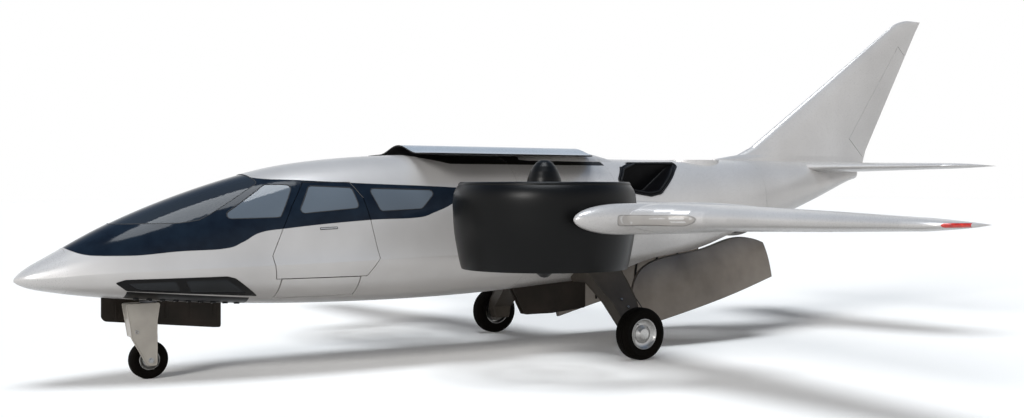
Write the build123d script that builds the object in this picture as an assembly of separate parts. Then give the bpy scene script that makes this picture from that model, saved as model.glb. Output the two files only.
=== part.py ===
"""Tilt-fan aircraft: two tilting ducted fans beside the cabin and a third fan in the rear body.

Millimetres. +X is the aircraft's left, +Y runs aft and +Z up. The floor is z = 0. Stations are
distances aft of the nose tip, as on an aircraft's drawings, and at() turns one into Y.
"""
from build123d import *
import os
from math import cos, pi, radians, sin, sqrt

os.makedirs("parts", exist_ok=True)

# Overall sizes
OVERALL_LENGTH = 11800
WING_SPAN = 11500
BODY_HALF_WIDTH = 775
WALL = 65
SKIN = 35
GAP = 6

# Where the body splits into its panels
NOSE_JOINT = 400
CABIN_END = 4850
CENTRE_END = 6100
FAN_SECTION_END = 8400
BODY_END = 10420

# Cabin
CABIN_START = 900
FLOOR_TOP = 790
FLOOR_THICKNESS = 30
BULKHEAD = 50
GLASS_INSET = 4
GLASS = 12

# Tilting ducts and their fans
DUCT_STATION = 4360
DUCT_TOP = 1812
DUCT_BOTTOM = 1008
DUCT_RADIUS = 857
DUCT_THROAT = 700
DUCT_SIDE_GAP = 168
PIVOT_HEIGHT = 1485
PIVOT_PIN = 55
FAN_CLEARANCE = 12
HUB_RADIUS = 182
SPINNER_TOP = 2022
TAIL_CONE_LOW = 912
FAN_HEIGHT = 1560
BLADES = 5

# Rear lift fan
REAR_FAN_STATION = 7600
REAR_FAN_RADIUS = 370
REAR_FAN_HEIGHT = 1780
REAR_HUB_RADIUS = 110
REAR_BLADES = 7

# Undercarriage
MAIN_STATION = 5780
TRACK = 2870
MAIN_TYRE_RADIUS = 267
MAIN_TYRE_WIDTH = 168
NOSE_WHEEL_STATION = 1170
NOSE_TYRE_RADIUS = 177
NOSE_TYRE_WIDTH = 116
NOSE_LEG_TOP = 700
NOSE_STRUT = 40
NOSE_STRUT_TOP = 785
MAIN_BEAD = 152
NOSE_BEAD = 92
TOW_BORE = 10
TOW_BORE_STATION = 1040
TOW_BORE_HEIGHT = 445
AXLE = 20
AXLE_PLAY = 1.5

ORIGIN_STATION = OVERALL_LENGTH / 2

# Body sections: station, top, chine height, keel, half width as a share of the widest,
# roundness across, roundness upward, and flare of the side just above the chine
SECTIONS = [
    (0, 958, 945, 935, 0.015, 2.0, 2.0, 0.00),
    (60, 1020, 955, 895, 0.122, 2.0, 2.0, 0.00),
    (250, 1135, 972, 842, 0.277, 2.0, 2.0, 0.02),
    (600, 1330, 1000, 785, 0.477, 2.0, 2.0, 0.03),
    (1100, 1565, 1022, 730, 0.684, 2.0, 2.0, 0.05),
    (1700, 1785, 1038, 680, 0.839, 2.1, 2.0, 0.07),
    (2300, 1950, 1050, 645, 0.929, 2.2, 2.0, 0.08),
    (3000, 2050, 1065, 625, 0.981, 2.3, 2.0, 0.08),
    (3700, 2095, 1082, 622, 0.994, 2.4, 2.0, 0.07),
    (4600, 2105, 1095, 645, 1.000, 2.4, 2.0, 0.05),
    (5500, 2100, 1130, 700, 0.994, 2.4, 2.1, 0.03),
    (6500, 2085, 1220, 770, 0.974, 2.5, 2.5, 0.02),
    (7500, 2090, 1360, 930, 0.890, 2.6, 2.7, 0.00),
    (8500, 2100, 1530, 1250, 0.684, 2.4, 2.4, 0.00),
    (9400, 2095, 1720, 1530, 0.426, 2.1, 2.1, 0.00),
    (9900, 2092, 1828, 1706, 0.300, 2.0, 2.0, 0.00),
    (BODY_END, 2085, 1945, 1870, 0.160, 2.0, 2.0, 0.00),
]
KEEL_ROUNDNESS = 2.3
FLARE_HEIGHT = 0.3
SECTION_POINTS = 9


def at(station):
    return station - ORIGIN_STATION


def save(name, *shapes):
    """Write one node, its solids side by side."""
    solids = [solid for shape in shapes for solid in shape.solids()]
    export_step(Compound(solids), f"parts/{name}.step")


def section_wire(row, inset):
    """One body section: a curve over the top and one under the keel, meeting at the chines."""
    station, top, chine, keel, share, across, upward, flare = row
    half = BODY_HALF_WIDTH * share - inset
    rise = top - inset - chine
    drop = chine - keel - inset
    over, under = [], []
    for step in range(SECTION_POINTS):
        turn = pi / 2 * step / (SECTION_POINTS - 1)
        lift = sin(turn) ** (2 / upward)
        side = (1 - flare) * cos(turn) ** (2 / across) + flare * max(0, 1 - lift / FLARE_HEIGHT) ** 2
        over.append((half * side, chine + rise * lift))
        under.append((half * cos(turn) ** (2 / KEEL_ROUNDNESS), chine - drop * sin(turn)))
    over[-1] = (0, over[-1][1])
    under[-1] = (0, under[-1][1])
    edges = []
    for quarter in (over, under):
        full = quarter + [(-x, z) for x, z in reversed(quarter[:-1])]
        edges.append(Edge.make_spline([Vector(x, at(station), z) for x, z in full]))
    return Wire(edges)


def body_form(inset=0.0, first=0, last=len(SECTIONS)):
    """The whole outer form of the body, or the same form shrunk inward by inset."""
    return Solid.make_loft([section_wire(row, inset) for row in SECTIONS[first:last]])


def slab(start, end, low=0, high=3000, left=2000, right=-2000):
    """A box between two stations, two heights and two sides."""
    size = (left - right, end - start, high - low)
    centre = ((left + right) / 2, at((start + end) / 2), (low + high) / 2)
    return Pos(*centre) * Box(*size)


def side_prism(points, corner=0, near=0.0, far=1500.0):
    """A side-view outline of (station, height) points, run sideways from X near to X far."""
    outline = Polygon(*[(at(station), height) for station, height in points], align=None)
    if corner:
        outline = fillet(outline.vertices(), corner)
    return extrude(Plane.YZ.offset(near) * outline, amount=far - near, dir=(1, 0, 0))


def both_sides(shape):
    return [shape, mirror(shape, about=Plane.YZ)]


def turned(profile, x=0.0, station=ORIGIN_STATION):
    """Turn an (r, z) outline about an upright axis."""
    face = make_face(Plane.XZ * Polyline(*profile, close=True))
    return Pos(x, at(station), 0) * revolve(face, Axis.Z)


def rod(start, end, radius):
    """A round bar between two points."""
    direction = Vector(*end) - Vector(*start)
    return extrude(Plane(origin=start, z_dir=direction) * Circle(radius), amount=direction.length)


# Body forms: the outside, the inside of the cabin wall and of the rear skin, and the glass layer
outside = body_form()
cabin_inside = body_form(WALL, 3, 12)
rear_inside = body_form(SKIN, 9, len(SECTIONS) - 1)
glass_outer = body_form(GLASS_INSET, 2, 12)
glass_inner = body_form(GLASS_INSET + GLASS, 2, 12)
glass_layer = glass_outer - glass_inner

# Window, door and panel outlines in side view
WINDSCREEN = [(790, 1428), (1335, 1438), (1500, 1462), (1600, 1510), (2105, 1806), (1905, 2100),
              (700, 2100)]
COCKPIT_WINDOW = [(1659, 1470), (2159, 1790), (2412, 1788), (2235, 1482)]
DOOR_WINDOW = [(2560, 1777), (2982, 1760), (3026, 1564), (2402, 1512)]
REAR_WINDOW = [(3147, 1754), (3890, 1737), (3682, 1551), (3236, 1530)]
CHIN_WINDOW = [(775, 918), (849, 943), (1703, 953), (1777, 934), (2027, 763), (879, 851)]
DOOR_TOP = 1815
DOOR_SPLIT = 916
DOOR_FRONT = [(2153, DOOR_SPLIT), (2117, 1131), (2239, 1377), (2349, 1583), (2510, DOOR_TOP)]
DOOR_REAR = [(2975, DOOR_TOP), (3080, 1660), (3124, 1445), (3176, 1085), (3050, DOOR_SPLIT)]
DOOR_SIDE_GAP = 9
DOOR_RIM = 26
DOOR_RIM_DEPTH = 28
STEP_START = 2200
STEP_END = 2990
STEP_BOTTOM = 722
STEP_GAP = 12
STEP_HINGE_FRONT = (449, at(2262), 724)
STEP_HINGE_REAR = (506, at(2930), 724)
STEP_HEEL = 34
STEP_HEEL_HEIGHT = 80
LAMP_STRIP = [(880, 838), (1975, 742), (2060, 560), (900, 560)]
LAMP_INNER_EDGE = 200
LAMP_DEPTH = 18


def door_outline(shrink):
    """The doorway's outline drawn in by shrink at the front and rear."""
    front = [(station + shrink, height) for station, height in DOOR_FRONT]
    rear = [(station - shrink, height) for station, height in DOOR_REAR]
    return front + rear


def step_room(spare):
    """Everything outboard of the parting face that rises inward from the step's hinge line."""
    hinge_line = Vector(*STEP_HINGE_REAR) - Vector(*STEP_HINGE_FRONT)
    plane = Plane(origin=STEP_HINGE_FRONT, x_dir=(hinge_line.Y, -hinge_line.X, 0), z_dir=hinge_line)
    corners = [(-spare, 0), (-spare - STEP_HEEL, STEP_HEEL_HEIGHT), (-spare - STEP_HEEL, 300), (500, 300),
               (500, -60), (-spare, -60)]
    face = plane * Polygon(*[(x, -z) for x, z in corners], align=None)
    aft = extrude(face, amount=900, dir=tuple(hinge_line))
    return aft + extrude(face, amount=300, dir=tuple(-hinge_line))


doorway = side_prism(door_outline(0), near=300)
doorway += slab(STEP_START, STEP_END, STEP_BOTTOM, DOOR_SPLIT, 1500, 300) & step_room(GAP)
door_leaf = side_prism(door_outline(DOOR_SIDE_GAP), near=300)
door_core = side_prism(door_outline(DOOR_SIDE_GAP + DOOR_RIM), near=300)
windscreen_cut = side_prism(WINDSCREEN, 20, near=-1000, far=1000)
side_cuts = [side_prism(points, 35, near=250) for points in (COCKPIT_WINDOW, REAR_WINDOW)]
door_window_cut = side_prism(DOOR_WINDOW, 35, near=250)
chin_cut = side_prism(CHIN_WINDOW, 12, near=250)
lamp_cut = side_prism(LAMP_STRIP, near=LAMP_INNER_EDGE)

# Cabin: one hollow shell with its windows, doorway, chin windows and lamp strips cut
lamp_layer = outside - body_form(LAMP_DEPTH, 2, 12)
shell = outside & slab(NOSE_JOINT, CABIN_END)
shell -= cabin_inside & slab(CABIN_START, CABIN_END)
shell -= windscreen_cut
for cut in side_cuts + [chin_cut]:
    shell -= cut
    shell -= mirror(cut, about=Plane.YZ)
shell -= mirror(door_window_cut, about=Plane.YZ)
lamp_strip = lamp_layer & lamp_cut & slab(NOSE_JOINT, CABIN_END)
for strip in both_sides(lamp_strip):
    shell -= strip
strut_line = [(0, at(NOSE_WHEEL_STATION), height) for height in (NOSE_LEG_TOP - 30, NOSE_STRUT_TOP)]
strut_bore = rod((0, at(NOSE_WHEEL_STATION), 500), (0, at(NOSE_WHEEL_STATION), NOSE_STRUT_TOP + 5),
                 NOSE_STRUT + AXLE_PLAY)
shell -= strut_bore
wall_block = shell & slab(2000, 3300, right=300)
shell -= doorway
save("nose_cone", outside & slab(-10, NOSE_JOINT))

# Doors: the upper one is hinged at the roofline, the lower one carries the step
door_rim = wall_block & door_leaf & (outside - body_form(DOOR_RIM_DEPTH, 3, 12))
upper_door = (door_rim + (wall_block & door_core)) & slab(2000, 3300, DOOR_SPLIT + GAP, DOOR_TOP - GAP)
upper_door -= door_window_cut
step_block = slab(STEP_START + STEP_GAP, STEP_END - STEP_GAP, STEP_BOTTOM + STEP_GAP, DOOR_SPLIT - GAP / 2)
boarding_step = (wall_block & step_block & step_room(0)) - body_form(WALL - GAP, 3, 12)
save("cabin_door", upper_door)
save("door_window", glass_layer & door_window_cut)
save("boarding_step", boarding_step)

# Duct pivots: the duct's pins run in bores in the body side and in the wing pods
duct_x = BODY_HALF_WIDTH + DUCT_SIDE_GAP + DUCT_RADIUS
POD_HALF_WIDTH = 130
POD_GAP = 33
pod_x = duct_x + DUCT_RADIUS + POD_GAP + POD_HALF_WIDTH
PIN_INNER_X = BODY_HALF_WIDTH - 150
pin_bore = rod((PIN_INNER_X - 5, at(DUCT_STATION), PIVOT_HEIGHT),
               (pod_x + 35, at(DUCT_STATION), PIVOT_HEIGHT), PIVOT_PIN + AXLE_PLAY)
for bore in both_sides(pin_bore):
    shell -= bore
save("cabin_shell", shell)
save("windscreen", glass_layer & windscreen_cut)
side_panes = [pane for cut in side_cuts for pane in both_sides(glass_layer & cut)]
save("side_windows", *side_panes, mirror(glass_layer & door_window_cut, about=Plane.YZ))
save("chin_windows", *both_sides(glass_layer & chin_cut))
save("chin_lamps", *both_sides(lamp_strip))

# Cabin inside: floor, rear bulkhead, seats and instrument panel
floor_slab = slab(1500, CABIN_END - BULKHEAD, FLOOR_TOP - FLOOR_THICKNESS, FLOOR_TOP)
save("cabin_floor", cabin_inside & floor_slab)
save("cabin_bulkhead", cabin_inside & slab(CABIN_END - BULKHEAD, CABIN_END))
SEAT_X = 275
SEAT_WIDTH = 430
SEAT_BACK_WIDTH = 330
seats = []
for seat_station in (2150, 3030, 3910):
    for seat_x in (SEAT_X, -SEAT_X):
        sides = (seat_x + SEAT_WIDTH / 2, seat_x - SEAT_WIDTH / 2)
        back_sides = (seat_x + SEAT_BACK_WIDTH / 2, seat_x - SEAT_BACK_WIDTH / 2)
        base_sides = (seat_x + 90, seat_x - 90)
        base = slab(seat_station + 60, seat_station + 420, FLOOR_TOP, FLOOR_TOP + 200, *base_sides)
        cushion = slab(seat_station, seat_station + 480, FLOOR_TOP + 180, FLOOR_TOP + 360, *sides)
        back = slab(seat_station + 400, seat_station + 520, FLOOR_TOP + 200, FLOOR_TOP + 760, *back_sides)
        seats.append(base + cushion + back)
save("seats", *seats)
panel_block = slab(1480, 1640, FLOOR_TOP, 1330, 460, -460)
save("instrument_panel", cabin_inside & panel_block)

# Centre section: fuel and gear bay below, engine bay above, open at the front to the bulkhead
ENGINE_BAY_FLOOR = 1330
ENGINE_BAY_HALF = 510
ENGINE_LENGTH = 1040
engine_bay = slab(CABIN_END, CENTRE_END - 60, ENGINE_BAY_FLOOR, 1870, ENGINE_BAY_HALF, -ENGINE_BAY_HALF)
centre = (outside & slab(CABIN_END, CENTRE_END)) - engine_bay

# Engines: one plain block for each turboshaft
engine_front = CABIN_END + 100
engine = slab(engine_front, engine_front + ENGINE_LENGTH, ENGINE_BAY_FLOOR, 1840,
              ENGINE_BAY_HALF - 20, 80)
save("engines", *both_sides(engine))

# Black deck let into the roof, which the fan lid stands over
DECK_DEPTH = 12
LID_DECK = [(4160, 2004), (CENTRE_END, 2004), (CENTRE_END, 2200), (3760, 2200), (3760, 2090)]
deck_cut = side_prism(LID_DECK, near=-700, far=700) & slab(CABIN_END, CENTRE_END)
deck_layer = outside - body_form(DECK_DEPTH, 8, 12)
centre_deck = deck_layer & deck_cut
centre -= centre_deck
save("lid_deck", centre_deck)
save("centre_section", centre)

# Engine intakes: black tubs let into the shoulders
INTAKE = [(6150, 1837), (6300, 1705), (6530, 1668), (6680, 1697), (7010, 1952), (7190, 2058), (6570, 2066),
          (6300, 1990)]
INTAKE_WALL = 28
INTAKE_CORNER = 30
INTAKE_FLOOR = 20
INTAKE_FLOOR_X = 330
intake_block = outside & side_prism(INTAKE, INTAKE_CORNER, near=INTAKE_FLOOR_X)
intake_face = fillet(Polygon(*[(at(s), z) for s, z in INTAKE], align=None).vertices(), INTAKE_CORNER)
mouth_plane = Plane.YZ.offset(INTAKE_FLOOR_X + INTAKE_FLOOR)
intake_mouth = extrude(mouth_plane * offset(intake_face, -INTAKE_WALL), amount=900, dir=(1, 0, 0))
save("intakes", *both_sides(intake_block - intake_mouth))

# Rear lift fan section: a skin round the fan's well, with a bulkhead at each end
WELL_WALL = 30
WELL_BOTTOM = 1400
COLLAR_TOP = 2086
COLLAR_LOW = 1836
COLLAR_RIM = 20
COLLAR_FOOT = 55
well_bore = rod((0, at(REAR_FAN_STATION), 1300), (0, at(REAR_FAN_STATION), 2300), REAR_FAN_RADIUS)
well_tube = rod((0, at(REAR_FAN_STATION), WELL_BOTTOM), (0, at(REAR_FAN_STATION), 2300),
                REAR_FAN_RADIUS + WELL_WALL)
fan_section = outside & slab(CENTRE_END, FAN_SECTION_END)
fan_section -= rear_inside & slab(CENTRE_END + 40, FAN_SECTION_END - 40)
fan_section += outside & well_tube
fan_section += turned([(0, COLLAR_LOW), (0, COLLAR_TOP), (REAR_FAN_RADIUS + COLLAR_RIM, COLLAR_TOP),
                       (REAR_FAN_RADIUS + COLLAR_FOOT, COLLAR_LOW)], 0, REAR_FAN_STATION)
fan_section -= well_bore
for side in both_sides(intake_block):
    fan_section -= side

# Lower fan doors: the belly's own skin, hinged along a line below each chine
DOOR_SKIN = 32
DOOR_START = 6130
DOOR_END = 8260
DOOR_EDGE = 620
DOOR_EDGE_GAP = 18
HINGE_FRONT = (646, at(6500), 945)
HINGE_REAR = (606, at(7500), 1130)
FAN_DOOR_OPEN = -88


DOOR_FRONT_CUT = 330
DOOR_REAR_CUT = 210


def door_plan(start, end, inner, outer):
    """Plan of one lower fan door between two stations, with its outer corners cut back."""
    front = outer - DOOR_FRONT_CUT
    rear = outer - DOOR_REAR_CUT
    corners = [(front, start), (outer - 40, start + 260), (outer, start + 620), (outer - 40, start + 1180),
               (outer - 85, end - 260), (rear, end)]
    curve = Spline(*[(x, at(station)) for x, station in corners])
    back = Polyline((rear, at(end)), (inner, at(end)), (inner, at(start)), (front, at(start)))
    return make_face([*curve.edges(), *back.edges()])


belly_skin = outside - body_form(DOOR_SKIN, 9, len(SECTIONS) - 1)
fan_door_cut = extrude(door_plan(DOOR_START, DOOR_END, GAP / 2, DOOR_EDGE), amount=1330, dir=(0, 0, 1))
belly_cut = extrude(door_plan(DOOR_START - GAP, DOOR_END + GAP, -GAP, DOOR_EDGE + DOOR_EDGE_GAP), amount=1330,
                    dir=(0, 0, 1))
fan_door = belly_skin & fan_door_cut
for side in both_sides(belly_cut):
    fan_section -= side
save("fan_section", fan_section)
fan_door_hinge = Axis(HINGE_FRONT, Vector(*HINGE_REAR) - Vector(*HINGE_FRONT))
open_fan_door = fan_door.rotate(fan_door_hinge, FAN_DOOR_OPEN)
save("fan_door_left", open_fan_door)
save("fan_door_right", mirror(open_fan_door, about=Plane.YZ))

# Rear body
tail_cone = outside & slab(FAN_SECTION_END, BODY_END + 10)
tail_cone -= rear_inside & slab(FAN_SECTION_END + 40, 9350)
save("tail_cone", tail_cone)

# Fan lid: an arch with flat flanges, drawn forward off the well
LID_FRONT = 3740
LID_REAR = 5960
LID_THICKNESS = 12
LID_HALF_WIDTH = 740
LID_FLANGE_HEIGHT = 2112
LID_RISE = 88
LID_TRAVEL = 2240


def lid_curve(height):
    """Half of the lid's cross-section: a bell over the middle running out to a flat flange."""
    points = [(x, height + LID_RISE * cos(min(x / 430, 1) * pi / 2) ** 2) for x in range(0, 431, 43)]
    return points + [(LID_HALF_WIDTH, height - 8)]


def lid_section():
    upper = lid_curve(LID_FLANGE_HEIGHT)
    lower = lid_curve(LID_FLANGE_HEIGHT - LID_THICKNESS)
    full_upper = [(-x, z) for x, z in reversed(upper[1:])] + upper
    full_lower = [(-x, z) for x, z in reversed(lower[1:])] + lower
    return Polygon(*full_upper, *reversed(full_lower), align=None)


lid = extrude(Plane.XZ.offset(-at(LID_REAR)) * lid_section(), amount=LID_REAR - LID_FRONT, dir=(0, -1, 0))
lid_trim = Polygon((-LID_HALF_WIDTH - 5, at(LID_FRONT)), (LID_HALF_WIDTH + 5, at(LID_FRONT)),
                   (LID_HALF_WIDTH + 5, at(LID_REAR - 280)), (330, at(LID_REAR)), (-330, at(LID_REAR)),
                   (-LID_HALF_WIDTH - 5, at(LID_REAR - 280)), align=None)
lid = lid & (Pos(0, 0, 2000) * extrude(fillet(lid_trim.vertices(), 60), amount=400, dir=(0, 0, 1)))
save("fan_lid", lid)

# Wing, with a navigation light let into each leading edge just inboard of the tip
WING_HEIGHT = 1490
NAV_LIGHT_INSET = 72
NAV_LIGHT_LENGTH = 118
NAV_LIGHT_HEIGHT = 34
NAV_LIGHT_REAR = 5420


def wing_wire(x, leading, trailing, thickness, height):
    """A wing section at X = x, rounded in front and thin behind, as one closed curve and its edge."""
    chord = trailing - leading
    upper, lower = [], []
    for step in range(13):
        share = (1 - cos(pi * step / 12)) / 2
        depth = thickness * (1.4845 * sqrt(share) - 0.63 * share - 1.758 * share ** 2
                             + 1.4215 * share ** 3 - 0.5075 * share ** 4)
        upper.append(Vector(x, at(leading + chord * share), height + depth))
        lower.append(Vector(x, at(leading + chord * share), height - depth))
    nose = Edge.make_spline(list(reversed(upper)) + lower[1:])
    return Wire([nose, Edge.make_line(lower[-1], upper[-1])])


def wing_form(sections, tip=()):
    """Straight panels between the sections, with a smoothly rounded tip beyond the last one."""
    form = Solid.make_loft([wing_wire(*section) for section in sections], ruled=True)
    if tip:
        form += Solid.make_loft([wing_wire(*section) for section in (sections[-1], *tip)])
    return form


half_span = WING_SPAN / 2
outer_wing = wing_form([
    (pod_x, 4420, 6140, 262, WING_HEIGHT), (pod_x + 125, 4470, 6120, 256, WING_HEIGHT),
    (pod_x + 190, 4640, 6105, 250, WING_HEIGHT), (pod_x + 270, 4790, 6090, 244, WING_HEIGHT),
    (pod_x + 380, 4900, 6060, 236, WING_HEIGHT), (pod_x + 520, 4960, 6025, 226, WING_HEIGHT),
    (3600, 4995, 6000, 215, WING_HEIGHT),
    (4500, 5030, 5850, 165, WING_HEIGHT), (half_span - 400, 5080, 5700, 105, WING_HEIGHT)],
    tip=[(half_span - 240, 5130, 5675, 88, WING_HEIGHT), (half_span - 110, 5215, 5650, 62, WING_HEIGHT),
         (half_span - 30, 5330, 5620, 36, WING_HEIGHT), (half_span, 5430, 5595, 12, WING_HEIGHT)])
inner_wing = wing_form([
    (450, 5400, 6240, 180, 1555), (1200, 5370, 6200, 190, 1538), (pod_x, 5320, 6120, 210, 1500)])

# Wing pods: streamlined bodies that carry the outer end of each duct
POD_NOSE = 3985
POD_HALF_HEIGHT = 137
POD_END = 6480
WING_ROOT = 36
JACK_STATION = 5300
JACK_RADIUS = 12.5
JACK_DEPTH = 40


def ring(x, station, height, half_width, half_height):
    ellipse = Plane(origin=(x, at(station), height), x_dir=(1, 0, 0), z_dir=(0, 1, 0))
    return (ellipse * Ellipse(half_width, half_height)).wire()


pod_shape = [(0, 0.08), (25, 0.30), (90, 0.56), (210, 0.80), (400, 0.97), (620, 1.0), (1500, 1.0),
             (1950, 0.80), (2300, 0.42), (POD_END - POD_NOSE, 0.08)]
pod = Solid.make_loft([ring(pod_x, POD_NOSE + aft, PIVOT_HEIGHT, POD_HALF_WIDTH * share,
                            POD_HALF_HEIGHT * share) for aft, share in pod_shape])
pod_whole = pod
pod -= pin_bore
PANEL_SINK = 7
pod_panel = slab(4400, 5060, 1445, 1525, pod_x + 200, pod_x + POD_HALF_WIDTH - PANEL_SINK)
pod -= fillet(pod_panel.edges().filter_by(Axis.X), 38)
pod_keel = PIVOT_HEIGHT - POD_HALF_HEIGHT
jack_line = [(pod_x, at(JACK_STATION), height) for height in (pod_keel - 10, pod_keel + JACK_DEPTH)]
pod -= rod(*jack_line, JACK_RADIUS)

# Roof fairing: a long low hump on the roof, inside the lid's arch, that runs out behind the lid
FAIRING_START = 4900
FAIRING_CREST = 5950
FAIRING_END = 6560
FAIRING_TOP = 2163
FAIRING_FOOT = 2030
FAIRING_HALF_WIDTH = 300
FAIRING_STEPS = 7


def fairing_ring(station, share):
    """One cross-section of the fairing, whose height over its foot is a share of the crest's."""
    return ring(0, station, FAIRING_FOOT, FAIRING_HALF_WIDTH, (FAIRING_TOP - FAIRING_FOOT) * share)


fairing_rings = []
for step in range(FAIRING_STEPS):
    share = step / FAIRING_STEPS
    station = FAIRING_START + (FAIRING_CREST - FAIRING_START) * share
    fairing_rings.append(fairing_ring(station, 0.35 + 0.65 * sin(pi / 2 * share)))
for step in range(FAIRING_STEPS + 1):
    share = step / FAIRING_STEPS
    station = FAIRING_CREST + (FAIRING_END - FAIRING_CREST) * share
    fairing_rings.append(fairing_ring(station, 0.58 + 0.42 * cos(pi * share)))
fairing = Solid.make_loft(fairing_rings, ruled=True) & slab(FAIRING_START - 10, FAIRING_END + 10, FAIRING_FOOT)
save("roof_fairing", fairing - outside)

# Ailerons
AILERON = (3950, 5250)
AILERON_HINGE_STATIONS = (5668, 5555)
AILERON_REAR = 6500
AILERON_NOSES = (60, 36)
AILERON_END_GAP = 9


def taper(start, end, start_radius, end_radius):
    """A round bar between two points that narrows evenly."""
    direction = Vector(*end) - Vector(*start)
    if start_radius == end_radius:
        return rod(start, end, start_radius)
    cone = Cone(start_radius, end_radius, direction.length, align=(Align.CENTER, Align.CENTER, Align.MIN))
    return Plane(origin=start, z_dir=direction) * cone


def control(surface, hinge_start, hinge_end, noses, behind, behind_cut):
    """Split a control surface off along its hinge: a round nose turning in a round cove."""
    flap = surface & (behind + taper(hinge_start, hinge_end, *noses))
    along = (Vector(*hinge_end) - Vector(*hinge_start)).normalized() * GAP
    start = Vector(*hinge_start) - along
    end = Vector(*hinge_end) + along
    cove = taper(tuple(start), tuple(end), noses[0] + GAP, noses[1] + GAP)
    return surface - cove - behind_cut, flap


def behind_hinge(spare):
    """Everything aft of the aileron's hinge line between its two ends, which spare moves outwards."""
    ends = (AILERON[0] - spare, AILERON[1] + spare)
    front = [(x, at(station)) for x, station in zip(ends, AILERON_HINGE_STATIONS)]
    plan = Polygon(*front, (ends[1], at(AILERON_REAR)), (ends[0], at(AILERON_REAR)), align=None)
    return Pos(0, 0, WING_HEIGHT - 200) * extrude(plan, amount=400, dir=(0, 0, 1))


aileron_hinge = [(x, at(station), WING_HEIGHT) for x, station in zip(AILERON, AILERON_HINGE_STATIONS)]
aileron_block = behind_hinge(0)
aileron_space = behind_hinge(AILERON_END_GAP)
outer_wing, aileron = control(outer_wing, *aileron_hinge, AILERON_NOSES, aileron_block, aileron_space)
save("aileron_left", aileron)
save("aileron_right", mirror(aileron, about=Plane.YZ))
outer_wing -= pod_whole
inner_wing = (inner_wing - outside - pod_whole) & slab(3000, 8000, left=pod_x - WING_ROOT, right=0)
outer_wing = outer_wing & slab(3000, 8000, left=7000, right=pod_x + WING_ROOT)
nav_slot = Pos(half_span - NAV_LIGHT_INSET, WING_HEIGHT) * SlotOverall(NAV_LIGHT_LENGTH, NAV_LIGHT_HEIGHT)
nav_cut = extrude(Plane.XZ.offset(-at(NAV_LIGHT_REAR)) * nav_slot, amount=400, dir=(0, -1, 0))
save("nav_light_left", outer_wing & nav_cut)
save("nav_light_right", mirror(outer_wing & nav_cut, about=Plane.YZ))
save("outer_wings", *both_sides(outer_wing - nav_cut))
save("inner_wings", *both_sides(inner_wing))
save("wing_pods", *both_sides(pod))

# Tail: tailplane with elevators, fin with rudder
TAILPLANE_HEIGHT = 2020
TAILPLANE_HALF_SPAN = 2000
tailplane = wing_form([
    (60, 9380, 10650, 130, TAILPLANE_HEIGHT), (600, 9560, 10680, 115, TAILPLANE_HEIGHT),
    (TAILPLANE_HALF_SPAN - 220, 10000, 10745, 66, TAILPLANE_HEIGHT)],
    tip=[(TAILPLANE_HALF_SPAN - 120, 10090, 10750, 54, TAILPLANE_HEIGHT),
         (TAILPLANE_HALF_SPAN - 40, 10250, 10752, 36, TAILPLANE_HEIGHT),
         (TAILPLANE_HALF_SPAN, 10480, 10745, 12, TAILPLANE_HEIGHT)])
ELEVATOR_STATION = 10420
ELEVATOR = (280, 1760)
ELEVATOR_NOSES = (32, 32)
elevator_hinge = [(x, at(ELEVATOR_STATION), TAILPLANE_HEIGHT) for x in ELEVATOR]
elevator_block = slab(ELEVATOR_STATION, 11000, 1800, 2300, ELEVATOR[1], ELEVATOR[0])
elevator_space = slab(ELEVATOR_STATION, 11000, 1800, 2300, ELEVATOR[1] + GAP, ELEVATOR[0] - GAP)
tailplane, elevator = control(tailplane, *elevator_hinge, ELEVATOR_NOSES, elevator_block, elevator_space)
save("elevators", *both_sides(elevator))


def fin_wire(height, leading, trailing, thickness):
    flat = wing_wire(0, leading, trailing, thickness, 0)
    return Pos(0, 0, height) * flat.rotate(Axis.Y, 90)


fin = Solid.make_loft([
    fin_wire(2000, 8010, 10640, 240), fin_wire(2105, 8030, 10660, 222), fin_wire(2165, 8430, 10680, 212),
    fin_wire(2260, 8650, 10715, 200),
    fin_wire(3000, 9780, 11160, 142), fin_wire(3900, 11155, 11703, 66)], ruled=True)
fin += Solid.make_loft([
    fin_wire(3900, 11155, 11703, 66), fin_wire(3970, 11262, 11752, 52),
    fin_wire(4020, 11400, OVERALL_LENGTH - 15, 34), fin_wire(4045, OVERALL_LENGTH - 270, OVERALL_LENGTH, 10)])
RUDDER_FOOT = (10384, 2385)
RUDDER_HEAD = (11365, 3644)
RUDDER_NOSES = (55, 55)
RUDDER_REACH = 900
rudder_rise = [head - foot for foot, head in zip(RUDDER_FOOT, RUDDER_HEAD)]
rudder_length = sqrt(rudder_rise[0] ** 2 + rudder_rise[1] ** 2)
hinge_run = [share / rudder_length for share in rudder_rise]
hinge_square = (hinge_run[1], -hinge_run[0])


def rudder_outline(spare):
    """The rudder's side view, square to its hinge at both ends, grown along the hinge by spare."""
    low = (RUDDER_FOOT[0] - hinge_run[0] * spare, RUDDER_FOOT[1] - hinge_run[1] * spare)
    high = (RUDDER_HEAD[0] + hinge_run[0] * spare, RUDDER_HEAD[1] + hinge_run[1] * spare)
    aft = [(s + hinge_square[0] * RUDDER_REACH, z + hinge_square[1] * RUDDER_REACH) for s, z in (high, low)]
    return [low, high, *aft]


rudder_hinge = [(0, at(s), z) for s, z in (RUDDER_FOOT, RUDDER_HEAD)]
rudder_block = side_prism(rudder_outline(0), near=-300, far=300)
rudder_space = side_prism(rudder_outline(GAP), near=-300, far=300)
fin, rudder = control(fin, *rudder_hinge, RUDDER_NOSES, rudder_block, rudder_space)
save("rudder", rudder)
save("fin", fin - outside)
save("tailplane", *both_sides(tailplane - outside - fin))

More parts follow.
